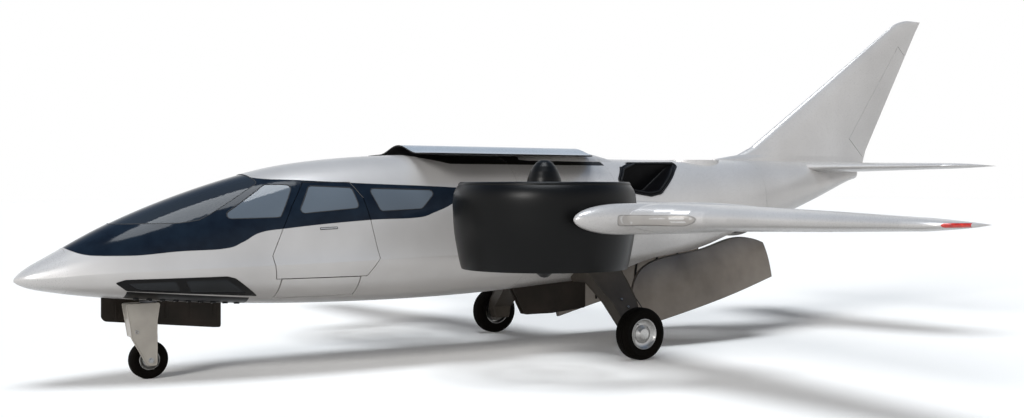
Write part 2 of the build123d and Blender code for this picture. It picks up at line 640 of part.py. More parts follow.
# Tilting ducts: an annular wing with its stator vanes, motor pod and pivot pins in one piece
THROAT_HEIGHT = 1600
DUCT_OUTSIDE = [(806, DUCT_TOP - 30), (843, 1719), (DUCT_RADIUS, 1550), (848, 1381), (833, 1269),
                (812, 1156), (788, 1044), (777, DUCT_BOTTOM)]
POD_JOINT = FAN_HEIGHT - 92


def duct_shell():
    """The duct's wall: its outer barrel, a rounded lip and a bore that narrows to the throat."""
    outer = Spline(*[(r, z) for r, z in DUCT_OUTSIDE])
    lip = ThreePointArc((806, DUCT_TOP - 30), (780, DUCT_TOP), (752, DUCT_TOP - 22))
    bore = Spline((752, DUCT_TOP - 22), (715, DUCT_TOP - 110), (DUCT_THROAT, THROAT_HEIGHT),
                  (DUCT_THROAT, 1400), (712, 1200), (762, DUCT_BOTTOM))
    exit_edge = Line((762, DUCT_BOTTOM), (777, DUCT_BOTTOM))
    face = make_face([Plane.XZ * edge for edge in (outer, lip, bore, exit_edge)])
    return Pos(duct_x, at(DUCT_STATION), 0) * revolve(face, Axis.Z)


def vane(angle, outer_radius, low, high, x, station, thickness=22):
    """One stator vane from the motor pod out into the duct wall."""
    blade = Pos(outer_radius / 2, 0, (low + high) / 2) * Box(outer_radius, thickness, high - low)
    return Pos(x, at(station), 0) * (Rot(0, 0, angle) * blade)


motor_pod = turned([(0, TAIL_CONE_LOW), (36, TAIL_CONE_LOW + 10), (88, 965), (132, 1080), (164, 1220),
                    (HUB_RADIUS, 1360), (HUB_RADIUS, POD_JOINT), (0, POD_JOINT)], duct_x, DUCT_STATION)
duct = duct_shell() + motor_pod
for angle in (45, 135, 225, 315):
    duct += vane(angle, DUCT_THROAT + 20, 1180, 1330, duct_x, DUCT_STATION)
shaft = rod((duct_x, at(DUCT_STATION), POD_JOINT), (duct_x, at(DUCT_STATION), FAN_HEIGHT + 40), 30)
duct += shaft
pins = rod((PIN_INNER_X, at(DUCT_STATION), PIVOT_HEIGHT),
           (duct_x - DUCT_THROAT - 30, at(DUCT_STATION), PIVOT_HEIGHT), PIVOT_PIN)
pins += rod((duct_x + DUCT_THROAT + 30, at(DUCT_STATION), PIVOT_HEIGHT),
            (pod_x + 30, at(DUCT_STATION), PIVOT_HEIGHT), PIVOT_PIN)
duct += pins
save("duct_left", duct)
save("duct_right", mirror(duct, about=Plane.YZ))


def blade(root_radius, tip_radius, root_chord, tip_chord, height):
    """One fan blade: a twisted loft from flat-sided root to tip."""
    wires = []
    for share in (0.0, 0.5, 1.0):
        radius = root_radius + (tip_radius - root_radius) * share
        chord = root_chord + (tip_chord - root_chord) * share
        pitch = 48 - 26 * share
        plane = Plane(origin=(radius, 0, height), x_dir=(0, cos(radians(pitch)), sin(radians(pitch))),
                      z_dir=(1, 0, 0))
        wires.append((plane * Ellipse(chord / 2, chord * 0.055)).wire())
    return Solid.make_loft(wires)


def fan(hub_profile, hub_radius, tip_radius, height, count, root_chord, tip_chord, bore):
    """A fan: its hub and spinner turned in one, its blades spaced evenly round it."""
    rotor = revolve(make_face(Plane.XZ * Polyline(*hub_profile, close=True)), Axis.Z)
    one = blade(hub_radius - 25, tip_radius, root_chord, tip_chord, height)
    for number in range(count):
        rotor += Rot(0, 0, 360 * number / count) * one
    return rotor - rod((0, 0, height - 200), (0, 0, height + 45), bore)


hub_low = POD_JOINT + GAP
spinner_base = 1640
spinner = [(0, hub_low), (HUB_RADIUS, hub_low), (HUB_RADIUS, spinner_base)]
for step in range(1, 9):
    turn = pi / 2 * step / 8
    spinner.append((HUB_RADIUS * cos(turn) ** 0.9, spinner_base + (SPINNER_TOP - spinner_base) * sin(turn)))
spinner[-1] = (0, SPINNER_TOP)
rotor = fan(spinner, HUB_RADIUS, DUCT_THROAT - FAN_CLEARANCE, FAN_HEIGHT, BLADES, 190, 150, 30 + AXLE_PLAY)
rotor = Pos(duct_x, at(DUCT_STATION), 0) * rotor
save("fan_left", rotor)
save("fan_right", mirror(rotor, about=Plane.YZ))

# Rear lift fan and the stator that carries it in the well
rear_joint = REAR_FAN_HEIGHT - 60
stator = turned([(0, 1480), (60, 1500), (REAR_HUB_RADIUS, 1600), (REAR_HUB_RADIUS, rear_joint),
                 (24, rear_joint), (24, REAR_FAN_HEIGHT + 30), (0, REAR_FAN_HEIGHT + 30)],
                0, REAR_FAN_STATION)
for angle in (0, 60, 120, 180, 240, 300):
    stator += vane(angle, REAR_FAN_RADIUS - 2, 1560, 1660, 0, REAR_FAN_STATION, 16)
stator &= rod((0, at(REAR_FAN_STATION), 1400), (0, at(REAR_FAN_STATION), 2100), REAR_FAN_RADIUS)
save("rear_fan_stator", stator)
rear_low = rear_joint + GAP
rear_hub = [(0, rear_low), (REAR_HUB_RADIUS, rear_low), (REAR_HUB_RADIUS, 1840), (92, 1900), (60, 1950),
            (0, 1970)]
rear_rotor = fan(rear_hub, REAR_HUB_RADIUS, REAR_FAN_RADIUS - FAN_CLEARANCE, REAR_FAN_HEIGHT,
                 REAR_BLADES, 120, 95, 24 + AXLE_PLAY)
save("rear_fan", Pos(0, at(REAR_FAN_STATION), 0) * rear_rotor)


# Wheels
def wheel(x, station, radius, width, bead, name):
    """Tyre and hub of one wheel, turned about its axle."""
    half = width / 2
    crown = [(bead, half * 0.72), (bead + 8, half * 0.86), (radius * 0.80, half),
             (radius * 0.90, half * 0.95), (radius * 0.97, half * 0.70), (radius, half * 0.35)]
    section = crown + [(r, -a) for r, a in reversed(crown)]
    tyre_face = make_face(Plane.XZ * Polyline(*section, close=True))
    rim = [(AXLE + AXLE_PLAY, half * 0.62), (bead * 0.35, half * 0.62), (bead * 0.45, half * 0.35),
           (bead * 0.80, half * 0.40), (bead * 0.92, half * 0.72), (bead, half * 0.72)]
    hub = rim + [(r, -a) for r, a in reversed(rim)]
    hub_face = make_face(Plane.XZ * Polyline(*hub, close=True))
    for label, face in ((f"{name}_tyre", tyre_face), (f"{name}_rim", hub_face)):
        save(label, Pos(x, at(station), radius) * (Rot(0, 90, 0) * revolve(face, Axis.Z)))


main_x = TRACK / 2
wheel(main_x, MAIN_STATION, MAIN_TYRE_RADIUS, MAIN_TYRE_WIDTH, MAIN_BEAD, "main_left")
wheel(-main_x, MAIN_STATION, MAIN_TYRE_RADIUS, MAIN_TYRE_WIDTH, MAIN_BEAD, "main_right")
wheel(0, NOSE_WHEEL_STATION, NOSE_TYRE_RADIUS, NOSE_TYRE_WIDTH, NOSE_BEAD, "nose")

# Main legs: broad faired cantilevers from the belly's sides down to the axles
LEG_FRONT_VIEW = [(520, 760), (520, 900), (800, 920), (1300, 420), (1335, 330), (1335, 200), (1240, 200),
                  (1225, 330), (760, 760)]
LEG_SIDE_VIEW = [(5520, 920), (5640, 560), (5655, 300), (5700, 195), (5870, 195), (5890, 440), (5965, 580),
                 (5985, 760), (5985, 920)]
leg_front = extrude(Plane.XZ.offset(-at(6500)) * Polygon(*LEG_FRONT_VIEW, align=None), amount=1500,
                    dir=(0, -1, 0))
leg_side = side_prism(LEG_SIDE_VIEW, 20, near=400, far=1500)
leg = (leg_front & leg_side) - outside
leg += rod((1300, at(MAIN_STATION), MAIN_TYRE_RADIUS),
           (main_x + MAIN_TYRE_WIDTH * 0.31, at(MAIN_STATION), MAIN_TYRE_RADIUS), AXLE)
save("main_legs", *both_sides(leg))

# Nose leg: a box blade in front that runs down beside the wheel to its axle, and turns to steer
nose_blade = side_prism([(945, NOSE_LEG_TOP), (1250, NOSE_LEG_TOP), (1225, 540), (1222, 391), (998, 391)], 8,
                        near=-55, far=100)
cheek_x = NOSE_TYRE_WIDTH / 2 + 10
nose_cheek = side_prism([(990, 430), (1225, 430), (1224, 130), (1140, 130), (996, 391)], 8,
                        near=cheek_x, far=100)
nose_strut = rod(*strut_line, NOSE_STRUT)
nose_axle = rod((-NOSE_TYRE_WIDTH * 0.31, at(NOSE_WHEEL_STATION), NOSE_TYRE_RADIUS),
                (cheek_x + 10, at(NOSE_WHEEL_STATION), NOSE_TYRE_RADIUS), AXLE)
tow_bore = rod((-60, at(TOW_BORE_STATION), TOW_BORE_HEIGHT), (110, at(TOW_BORE_STATION), TOW_BORE_HEIGHT),
               TOW_BORE)
save("nose_leg", nose_blade + nose_cheek + nose_strut + nose_axle - tow_bore)

# Gear doors: the nose gear's hangs beside it, the main gear's hang either side of the keel
nose_door = side_prism([(800, 760), (1925, 660), (1925, 412), (1860, 414), (830, 527), (800, 560)], 10,
                       near=-220, far=-200)
save("nose_gear_door", nose_door - outside)
keel_door = side_prism([(5075, 750), (5280, 370), (5630, 368), (6085, 408), (6085, 860)], 10, near=25, far=45)
save("main_gear_doors", *both_sides(keel_door - outside))
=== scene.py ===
from math import cos, pi, radians, sin

import bmesh
import bpy
from mathutils import Matrix, Vector
from mathutils.bvhtree import BVHTree
from mathutils.geometry import delaunay_2d_cdt


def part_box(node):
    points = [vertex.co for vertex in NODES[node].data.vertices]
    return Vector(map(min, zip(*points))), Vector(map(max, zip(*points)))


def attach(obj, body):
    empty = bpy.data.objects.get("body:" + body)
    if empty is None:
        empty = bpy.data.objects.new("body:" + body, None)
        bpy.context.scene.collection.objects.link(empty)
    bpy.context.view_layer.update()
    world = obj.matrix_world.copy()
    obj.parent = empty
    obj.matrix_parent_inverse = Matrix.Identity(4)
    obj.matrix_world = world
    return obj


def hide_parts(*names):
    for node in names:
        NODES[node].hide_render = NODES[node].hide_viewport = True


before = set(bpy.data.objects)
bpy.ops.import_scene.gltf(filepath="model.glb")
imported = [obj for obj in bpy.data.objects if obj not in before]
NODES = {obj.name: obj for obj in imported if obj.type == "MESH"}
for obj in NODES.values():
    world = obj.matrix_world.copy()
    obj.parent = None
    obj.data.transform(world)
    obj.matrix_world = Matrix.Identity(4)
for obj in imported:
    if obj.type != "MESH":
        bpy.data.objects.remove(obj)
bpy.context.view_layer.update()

# Camera: a standing viewer's height, off the left side ahead of the wing, level, on a 43 mm lens. A small
# vertical shift frames the aircraft without tilting the camera.
scene = bpy.context.scene


def put(name, data):
    """A new object of the scene."""
    made = bpy.data.objects.new(name, data)
    scene.collection.objects.link(made)
    return made


camera = put("camera", bpy.data.cameras.new("camera"))
CAMERA_PLACE = (11.389, -7.936, 1.756)
CAMERA_HEADING = radians(57.8)
camera.location = CAMERA_PLACE
camera.rotation_euler = (pi / 2, 0, CAMERA_HEADING)
camera.data.lens = 43.24
camera.data.sensor_width = 36
camera.data.shift_y = -0.0205
camera.data.clip_end = 200
scene.camera = camera
scene.view_settings.view_transform = "Standard"


# Studio: a seamless white floor and sky, a broad soft key overhead, a panel off the left of the nose and
# a weak low fill. The floor adds a little white to camera and mirror rays, and keeps the soft shadow.
def linear(code):
    """An sRGB hex colour as linear RGBA."""
    parts = [int(code[i:i + 2], 16) / 255 for i in (0, 2, 4)]
    return [c / 12.92 if c <= 0.04045 else ((c + 0.055) / 1.055) ** 2.4 for c in parts] + [1.0]


def add(tree, kind, inputs=None, **settings):
    """One shader node with its settings; an input that is a node or socket is linked to it."""
    node = tree.nodes.new(kind)
    for key, value in settings.items():
        setattr(node, key, value)
    for key, value in (inputs or {}).items():
        if isinstance(value, bpy.types.NodeSocket):
            tree.links.new(value, node.inputs[key])
        elif isinstance(value, bpy.types.Node):
            tree.links.new(value.outputs[0], node.inputs[key])
        else:
            node.inputs[key].default_value = value
    return node


def seen_white(tree):
    """1 for rays from the camera, from a mirror or through glass."""
    path = add(tree, "ShaderNodeLightPath")
    first = add(tree, "ShaderNodeMath", {0: path.outputs["Is Camera Ray"], 1: path.outputs["Is Glossy Ray"]},
                operation="MAXIMUM")
    return add(tree, "ShaderNodeMath", {0: first, 1: path.outputs["Is Transmission Ray"]},
               operation="MAXIMUM")


AMBIENT = 0.18
FLOOR_GLOW = 0.06
ZENITH_START = 0.15
ZENITH_END = 0.80
world = bpy.data.worlds.new("studio_sky")
world.use_nodes = True
scene.world = world
sky = world.node_tree
sky.nodes.clear()
sky_level = add(sky, "ShaderNodeMapRange", {"Value": seen_white(sky), "To Min": AMBIENT, "To Max": 1.0})
sky_way = add(sky, "ShaderNodeTexCoord")
sky_rise = add(sky, "ShaderNodeSeparateXYZ", {"Vector": sky_way.outputs["Generated"]})
sky_share = add(sky, "ShaderNodeMapRange", {"Value": sky_rise.outputs["Z"], "From Min": ZENITH_START,
                                            "From Max": ZENITH_END}, interpolation_type="SMOOTHSTEP")
sky_colour = add(sky, "ShaderNodeMixRGB", {"Fac": sky_share, "Color1": linear("FFFFFF"),
                                           "Color2": linear("6F87A6")})
sky_light = add(sky, "ShaderNodeBackground", {"Color": sky_colour, "Strength": sky_level})
add(sky, "ShaderNodeOutputWorld", {"Surface": sky_light})

floor_mesh = bpy.data.meshes.new("studio_floor")
FLOOR_REACH = 150
floor_mesh.from_pydata([(-FLOOR_REACH, -FLOOR_REACH, 0), (FLOOR_REACH, -FLOOR_REACH, 0),
                        (FLOOR_REACH, FLOOR_REACH, 0), (-FLOOR_REACH, FLOOR_REACH, 0)], [], [(0, 1, 2, 3)])
floor = put("studio_floor", floor_mesh)
floor_paper = bpy.data.materials.new("seamless_paper")
floor_paper.use_nodes = True
paper = floor_paper.node_tree
paper.nodes.clear()
paper_seen = seen_white(paper)
paper_tone = add(paper, "ShaderNodeMixRGB", {"Fac": paper_seen, "Color1": linear("B4B0AB"),
                                             "Color2": linear("FAFAFA")})
paper_matte = add(paper, "ShaderNodeBsdfDiffuse", {"Color": paper_tone})
paper_glow = add(paper, "ShaderNodeEmission", {"Color": linear("FFFFFF")})
glow_level = add(paper, "ShaderNodeMath", {0: paper_seen, 1: FLOOR_GLOW}, operation="MULTIPLY")
paper.links.new(glow_level.outputs[0], paper_glow.inputs["Strength"])
paper_sum = add(paper, "ShaderNodeAddShader", {0: paper_matte, 1: paper_glow})
add(paper, "ShaderNodeOutputMaterial", {"Surface": paper_sum})
floor_mesh.materials.append(floor_paper)


def lamp(name, source, strength, spread, colour):
    """Even light from the way of source, spread over an angle in degrees as a wide panel's is."""
    made = put(name, bpy.data.lights.new(name, "SUN"))
    made.data.energy = strength
    made.data.angle = radians(spread)
    made.data.color = colour
    made.rotation_euler = (-Vector(source)).to_track_quat("-Z", "Y").to_euler()
    return made


lamp("key_sun", (0.9, -0.9, 11.5), 2.1, 30, (0.93, 0.97, 1.0))
lamp("side_panel", (5.4, -9.8, 5.4), 1.9, 17, (1.0, 0.98, 0.95))
low_fill = lamp("low_fill", (13.0, -9.0, 2.0), 0.95, 20, (1.0, 0.96, 0.91))
low_fill.data.use_shadow = False
low_fill.visible_glossy = False


# Body: moulded composite skin in pearl-silver lacquer, with the dark glasshouse band masked and sprayed
# in gloss navy-black. Clear lacquer over both gives the sharp reflections and a faint orange peel. The
# cabin roof under the fan lid carries a painted shadow of the lid in near-black.
NOSE_STATION = 5.9


def at(station):
    """Metres aft of the nose tip as Y."""
    return station - NOSE_STATION


def new_material(name, **constants):
    """A Principled material with its constants on the shader's own sockets, and its tree."""
    made = bpy.data.materials.new(name)
    made.use_nodes = True
    tree = made.node_tree
    tree.nodes.clear()
    shader = add(tree, "ShaderNodeBsdfPrincipled")
    for key, value in constants.items():
        shader.inputs[key.replace("_", " ").title().replace("Ior", "IOR")].default_value = value
    add(tree, "ShaderNodeOutputMaterial", {"Surface": shader})
    return made, tree, shader


def pattern(tree, size_mm, detail=3.0):
    """A noise whose features are about size_mm across, on Object coordinates."""
    place = add(tree, "ShaderNodeTexCoord")
    return add(tree, "ShaderNodeTexNoise", {"Vector": place.outputs["Object"], "Scale": 1000 / size_mm,
                                            "Detail": detail})


def two_tone(tree, factor, dark, light):
    """Colours from dark to light as factor runs over the middle of its range."""
    ramp = add(tree, "ShaderNodeValToRGB", {"Fac": factor})
    ramp.color_ramp.elements[0].position = 0.3
    ramp.color_ramp.elements[0].color = linear(dark)
    ramp.color_ramp.elements[1].position = 0.7
    ramp.color_ramp.elements[1].color = linear(light)
    return ramp


def bump(tree, shader, height, strength, distance_mm):
    """Lets height tilt the surface by up to distance_mm."""
    made = add(tree, "ShaderNodeBump", {"Height": height, "Strength": strength,
                                        "Distance": distance_mm / 1000})
    tree.links.new(made.outputs[0], shader.inputs["Normal"])


def finish(name, dark, light, size_mm, detail=3.0, texture=None, rub=None, **constants):
    """A material whose colour drifts between two tones over size_mm. Its texture is the size, detail,
    strength and depth in mm of a bump, and rub the size, detail, least and most of its roughness."""
    made, tree, shader = new_material(name, **constants)
    tones = two_tone(tree, pattern(tree, size_mm, detail), dark, light)
    tree.links.new(tones.outputs[0], shader.inputs["Base Color"])
    if texture:
        bump(tree, shader, pattern(tree, *texture[:2]), *texture[2:])
    if rub:
        level = add(tree, "ShaderNodeMapRange", {"Value": pattern(tree, *rub[:2]), "To Min": rub[2],
                                                 "To Max": rub[3]})
        tree.links.new(level.outputs[0], shader.inputs["Roughness"])
    return made


BAND_LOWER = [(0.34, 1.60), (0.40, 1.245), (0.44, 1.205), (0.581, 1.163), (0.861, 1.158), (1.305, 1.190),
              (1.732, 1.213), (1.86, 1.262), (2.054, 1.353), (2.241, 1.377), (3.119, 1.449), (3.665, 1.470),
              (3.80, 1.51), (4.036, 1.605), (4.18, 1.76)]
BAND_UPPER = [(0.34, 2.2), (2.0, 2.2), (2.03, 1.90), (2.071, 1.858), (2.5, 1.831), (3.010, 1.806),
              (4.097, 1.762), (4.18, 1.756)]
BAND_RANGE = (0.34, 4.18)
BAND_HEIGHTS = (1.1, 2.2)
MASK_EDGE = 0.0018
# Painted shadow under the fan lid: the roof is near-black aft of the front point and above a line falling
# from it to the level point.
LID_SHADOW_FRONT = (3.76, 2.09)
LID_SHADOW_LEVEL = (4.16, 2.004)


def edge_curve(tree, station, points):
    """A height that follows points as the station runs along the body."""
    curve = add(tree, "ShaderNodeFloatCurve", {"Value": station})
    line = curve.mapping.curves[0]
    span = BAND_RANGE[1] - BAND_RANGE[0]
    rise = BAND_HEIGHTS[1] - BAND_HEIGHTS[0]
    for number, (along, height) in enumerate(points):
        share = ((along - BAND_RANGE[0]) / span, (height - BAND_HEIGHTS[0]) / rise)
        if number in (0, len(points) - 1):
            line.points[0 if number == 0 else -1].location = share
        else:
            line.points.new(*share)
    for point in line.points:
        point.handle_type = "AUTO_CLAMPED"
    curve.mapping.update()
    return add(tree, "ShaderNodeMapRange", {"Value": curve, "To Min": BAND_HEIGHTS[0],
                                            "To Max": BAND_HEIGHTS[1]})


def above(tree, height, line):
    """1 where height is above line, with an edge as sharp as masking tape leaves."""
    over = add(tree, "ShaderNodeMath", {0: height, 1: line}, operation="SUBTRACT")
    return add(tree, "ShaderNodeMapRange", {"Value": over, "From Min": -MASK_EDGE, "From Max": MASK_EDGE})


def pearl(name, banded, dark="B4B3B3", light="C3C2C2"):
    """Pearl-silver lacquer, with the dark band and a painted shadow under the fan lid where banded."""
    gloss = 0.14 if banded else 0.5
    made, tree, shader = new_material(name, coat_weight=0.0 if banded else 0.2, coat_roughness=0.06,
                                      specular_ior_level=gloss)
    drift = pattern(tree, 900, 4.0)
    colour = two_tone(tree, drift, dark, light)
    flake = pattern(tree, 6, 1.0)
    sparkle = add(tree, "ShaderNodeMapRange", {"Value": flake, "From Min": 0.35, "From Max": 0.65,
                                               "To Min": 0.27, "To Max": 0.37})
    metal = add(tree, "ShaderNodeMapRange", {"Value": drift, "To Min": 0.24, "To Max": 0.34})
    smear = pattern(tree, 160, 5.0)
    if banded:
        place = add(tree, "ShaderNodeTexCoord")
        axes = add(tree, "ShaderNodeSeparateXYZ", {"Vector": place.outputs["Object"]})
        station = add(tree, "ShaderNodeMapRange", {
            "Value": axes.outputs["Y"], "From Min": at(BAND_RANGE[0]), "From Max": at(BAND_RANGE[1])})
        over = above(tree, axes.outputs["Z"], edge_curve(tree, station, BAND_LOWER))
        under = above(tree, edge_curve(tree, station, BAND_UPPER), axes.outputs["Z"])
        ahead = above(tree, at(BAND_RANGE[1]), axes.outputs["Y"])
        band = add(tree, "ShaderNodeMath", {0: over, 1: under}, operation="MULTIPLY")
        band = add(tree, "ShaderNodeMath", {0: band, 1: ahead}, operation="MULTIPLY")
        # Painted shadow of the fan lid: near-black on the roof above the falling line, aft of its front
        # point.
        fall = add(tree, "ShaderNodeMapRange", {"Value": axes.outputs["Y"], "From Min": at(LID_SHADOW_FRONT[0]),
                                                "From Max": at(LID_SHADOW_LEVEL[0]), "To Min": LID_SHADOW_FRONT[1],
                                                "To Max": LID_SHADOW_LEVEL[1]})
        lid_shadow = add(tree, "ShaderNodeMath", {
            0: above(tree, axes.outputs["Z"], fall), 1: above(tree, axes.outputs["Y"], at(LID_SHADOW_FRONT[0]))},
            operation="MULTIPLY")
        navy = two_tone(tree, smear, "0E1520", "16202C")
        colour = add(tree, "ShaderNodeMixRGB", {"Fac": band, "Color1": colour.outputs[0],
                                                "Color2": navy.outputs[0]})
        colour = add(tree, "ShaderNodeMixRGB", {"Fac": lid_shadow, "Color1": colour, "Color2": linear("141312")})
        dark = add(tree, "ShaderNodeMath", {0: band, 1: lid_shadow}, operation="MAXIMUM")
        sparkle = add(tree, "ShaderNodeMapRange", {"Value": band, "To Min": 0.31, "To Max": 0.09})
        metal = add(tree, "ShaderNodeMapRange", {"Value": dark, "To Min": 0.30, "To Max": 0.0})
    tree.links.new(colour.outputs[0], shader.inputs["Base Color"])
    tree.links.new(sparkle.outputs[0], shader.inputs["Roughness"])
    tree.links.new(metal.outputs[0], shader.inputs["Metallic"])
    bump(tree, shader, smear, 0.05, 0.6)
    return made


def finish_node(node, material, inner=None, chooses=None):
    """Gives a CAD node its finish, and a second one to the faces that chooses picks."""
    mesh = NODES[node].data
    mesh.materials.clear()
    mesh.materials.append(material)
    for face in mesh.polygons:
        face.material_index = 0
    if inner:
        mesh.materials.append(inner)
        for face in mesh.polygons:
            if chooses(face):
                face.material_index = 1


def surface_of(*nodes):
    """A search tree over some CAD nodes' surfaces."""
    points, faces = [], []
    for node in nodes:
        mesh = NODES[node].data
        start = len(points)
        points += [v.co.copy() for v in mesh.vertices]
        faces += [tuple(start + corner for corner in face.vertices) for face in mesh.polygons]
    return BVHTree.FromPolygons(points, faces)


pearl_plain = pearl("pearl_lacquer_on_composite", False)
pearl_banded = pearl("pearl_lacquer_with_gloss_band", True)
lining = finish("woven_cabin_lining", "5F5B55", "77726B", 9, 2.0, (9, 2.0, 0.3, 1.0), roughness=0.85,
                sheen_weight=0.2)


def faces_inward(face, middle_height=1.2):
    """True for a skin face that looks towards the body's own axis."""
    outward = Vector((face.center.x, 0, face.center.z - middle_height))
    return outward.length > 0.02 and face.normal.dot(outward.normalized()) < -0.25


for node in ("nose_cone", "centre_section", "tail_cone", "roof_fairing"):
    finish_node(node, pearl_plain)
for node in ("cabin_shell", "cabin_door", "boarding_step"):
    finish_node(node, pearl_banded, lining, faces_inward)
bay_grey = finish("bare_carbon_laminate", "121110", "1E1D1C", 14, 2.0, (14, 2.0, 0.2, 0.5), roughness=0.5,
                  specular_ior_level=0.15)
finish_node("fan_section", pearl_plain, bay_grey, lambda face: faces_inward(face, 1.75))


# Skin seams: where two mouldings of the body meet, the gap is filled and faired with a thin bead of
# sealant, and a row of flush countersunk screws holds each edge to the frame behind it.
def modified(name, source, tree, values):
    """Runs a Geometry Nodes tree on a mesh and returns its result as a plain mesh object."""
    held = put(name, source)
    modifier = held.modifiers.new("nodes", "NODES")
    modifier.node_group = tree
    for item in tree.interface.items_tree:
        if item.item_type == "SOCKET" and item.in_out == "INPUT" and item.name in values:
            modifier[item.identifier] = values[item.name]
    depsgraph = bpy.context.evaluated_depsgraph_get()
    result = bpy.data.meshes.new_from_object(held.evaluated_get(depsgraph), depsgraph=depsgraph)
    held.modifiers.clear()
    held.data = result
    result.name = name
    return held


def new_tree(name, **sizes):
    """A Geometry Nodes tree with a geometry input, a material input and one input for each size."""
    tree = bpy.data.node_groups.new(name, "GeometryNodeTree")
    tree.interface.new_socket("Geometry", in_out="INPUT", socket_type="NodeSocketGeometry")
    tree.interface.new_socket("Material", in_out="INPUT", socket_type="NodeSocketMaterial")
    for size, value in sizes.items():
        kind = "NodeSocketInt" if isinstance(value, int) else "NodeSocketFloat"
        tree.interface.new_socket(size, in_out="INPUT", socket_type=kind).default_value = value
    tree.interface.new_socket("Geometry", in_out="OUTPUT", socket_type="NodeSocketGeometry")
    return tree, add(tree, "NodeGroupInput")


def close_tree(tree, given, geometry):
    """Ends a tree in Realize Instances and Set Material."""
    real = add(tree, "GeometryNodeRealizeInstances", {0: geometry})
    coated = add(tree, "GeometryNodeSetMaterial", {"Geometry": real, "Material": given.outputs["Material"]})
    add(tree, "NodeGroupOutput", {0: coated})


bead_tree, given = new_tree("sealant_bead", Radius=0.002, Step=0.05, Sides=6)
bead_path = add(bead_tree, "GeometryNodeMeshToCurve", {0: given.outputs["Geometry"]})
bead_steps = add(bead_tree, "GeometryNodeResampleCurve", {
    "Curve": bead_path, "Length": given.outputs["Step"]}, mode="LENGTH")
bead_round = add(bead_tree, "GeometryNodeCurvePrimitiveCircle", {
    "Resolution": given.outputs["Sides"], "Radius": given.outputs["Radius"]}, mode="RADIUS")
bead_swept = add(bead_tree, "GeometryNodeCurveToMesh", {"Curve": bead_steps, "Profile Curve": bead_round,
                                                        "Fill Caps": True})
close_tree(bead_tree, given, bead_swept)

screw_tree, given = new_tree("flush_screws", Spacing=0.06, Radius=0.004, Rise=0.0006)
screw_path = add(screw_tree, "GeometryNodeMeshToCurve", {0: given.outputs["Geometry"]})
screw_points = add(screw_tree, "GeometryNodeCurveToPoints", {
    "Curve": screw_path, "Length": given.outputs["Spacing"]}, mode="LENGTH")
screw_normal = add(screw_tree, "GeometryNodeInputNamedAttribute", {"Name": "out"}, data_type="FLOAT_VECTOR")
screw_turn = add(screw_tree, "FunctionNodeAlignRotationToVector", {"Vector": screw_normal}, axis="Z")
screw_head = add(screw_tree, "GeometryNodeMeshCylinder", {
    "Vertices": 12, "Radius": given.outputs["Radius"], "Depth": given.outputs["Rise"]})
screw_placed = add(screw_tree, "GeometryNodeInstanceOnPoints", {
    "Points": screw_points, "Instance": screw_head, "Rotation": screw_turn})
close_tree(screw_tree, given, screw_placed)


def path_mesh(name, lines, closed=True):
    """Rows of (place, outward normal) joined up as edges, with the normals kept as an attribute."""
    mesh = bpy.data.meshes.new(name)
    points, outs, edges = [], [], []
    for line in lines:
        start = len(points)
        points += [place for place, _ in line]
        outs += [out for _, out in line]
        edges += [(start + n, start + n + 1) for n in range(len(line) - 1)]
        if closed:
            edges.append((start + len(line) - 1, start))
    mesh.from_pydata(points, edges, [])
    kept = mesh.attributes.new("out", "FLOAT_VECTOR", "POINT")
    for number, out in enumerate(outs):
        kept.data[number].vector = out
    return mesh


def round_body(surface, station, steps=72, rise=0.0):
    """Points round the body at a station, found by looking in at it from all sides."""
    middle = Vector((0, at(station), 1.35))
    line = []
    for step in range(steps):
        turn = 2 * pi * step / steps
        away = Vector((cos(turn), 0, sin(turn)))
        place, out, _, _ = surface.ray_cast(middle + away * 3, -away)
        if place:
            out = (out - Vector((0, out.y, 0))).normalized()
            line.append((place + out * rise, out))
    return line


body_surface = surface_of("nose_cone", "cabin_shell", "centre_section", "fan_section", "tail_cone",
                          "lid_deck", "roof_fairing")
sealant = finish("polysulphide_sealant", "7C7B7A", "8C8B8A", 30, roughness=0.5)
NOSE_JOINT = 0.4
SKIN_JOINTS = (4.85, 6.1, 8.4)
SCREW_OFFSET = 0.018
seam_lines = [round_body(body_surface, station) for station in (NOSE_JOINT, *SKIN_JOINTS)]
skin_seams = modified("skin_seams", path_mesh("skin_seams", seam_lines), bead_tree, {
    "Material": sealant, "Radius": 0.0016, "Step": 0.04, "Sides": 6})
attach(skin_seams, "airframe")
screw_steel = finish("painted_screw_heads", "8F8F90", "A9A9AA", 4, roughness=0.4, metallic=0.5)
screw_lines = [round_body(body_surface, joint + side)
               for joint in SKIN_JOINTS for side in (-SCREW_OFFSET, SCREW_OFFSET)]
skin_screws = modified("skin_screws", path_mesh("skin_screws", screw_lines), screw_tree, {
    "Material": screw_steel, "Spacing": 0.07, "Radius": 0.0038, "Rise": 0.0012})
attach(skin_screws, "airframe")

# Windows: grey acrylic panes a dozen millimetres thick, let in flush with the skin and sealed all round
# with a black rubber bead.
PANE_RIPPLE = (400, 1.0, 0.03, 1.0)
acrylic = finish("grey_tinted_acrylic", "4C5560", "68737F", 1300, 1.0, PANE_RIPPLE, roughness=0.06, ior=1.49,
                 transmission_weight=0.22, specular_ior_level=0.25)
rubber = finish("epdm_seal_rubber", "0E0E0F", "18181A", 5, 3.0, (5, 3.0, 0.2, 0.3), roughness=0.6)
for node in ("side_windows", "door_window"):
    finish_node(node, acrylic)
# Painted shade: the windscreen gets a darker copy of the panes' acrylic, standing for how light falls on its
# nearly flat glass.
shaded_acrylic = finish("acrylic_darkened_as_painted_shade", "20262E", "2C333C", 1300, 1.0, PANE_RIPPLE, roughness=0.06,
                      ior=1.49, transmission_weight=0.12, specular_ior_level=0.12)
finish_node("windscreen", shaded_acrylic)


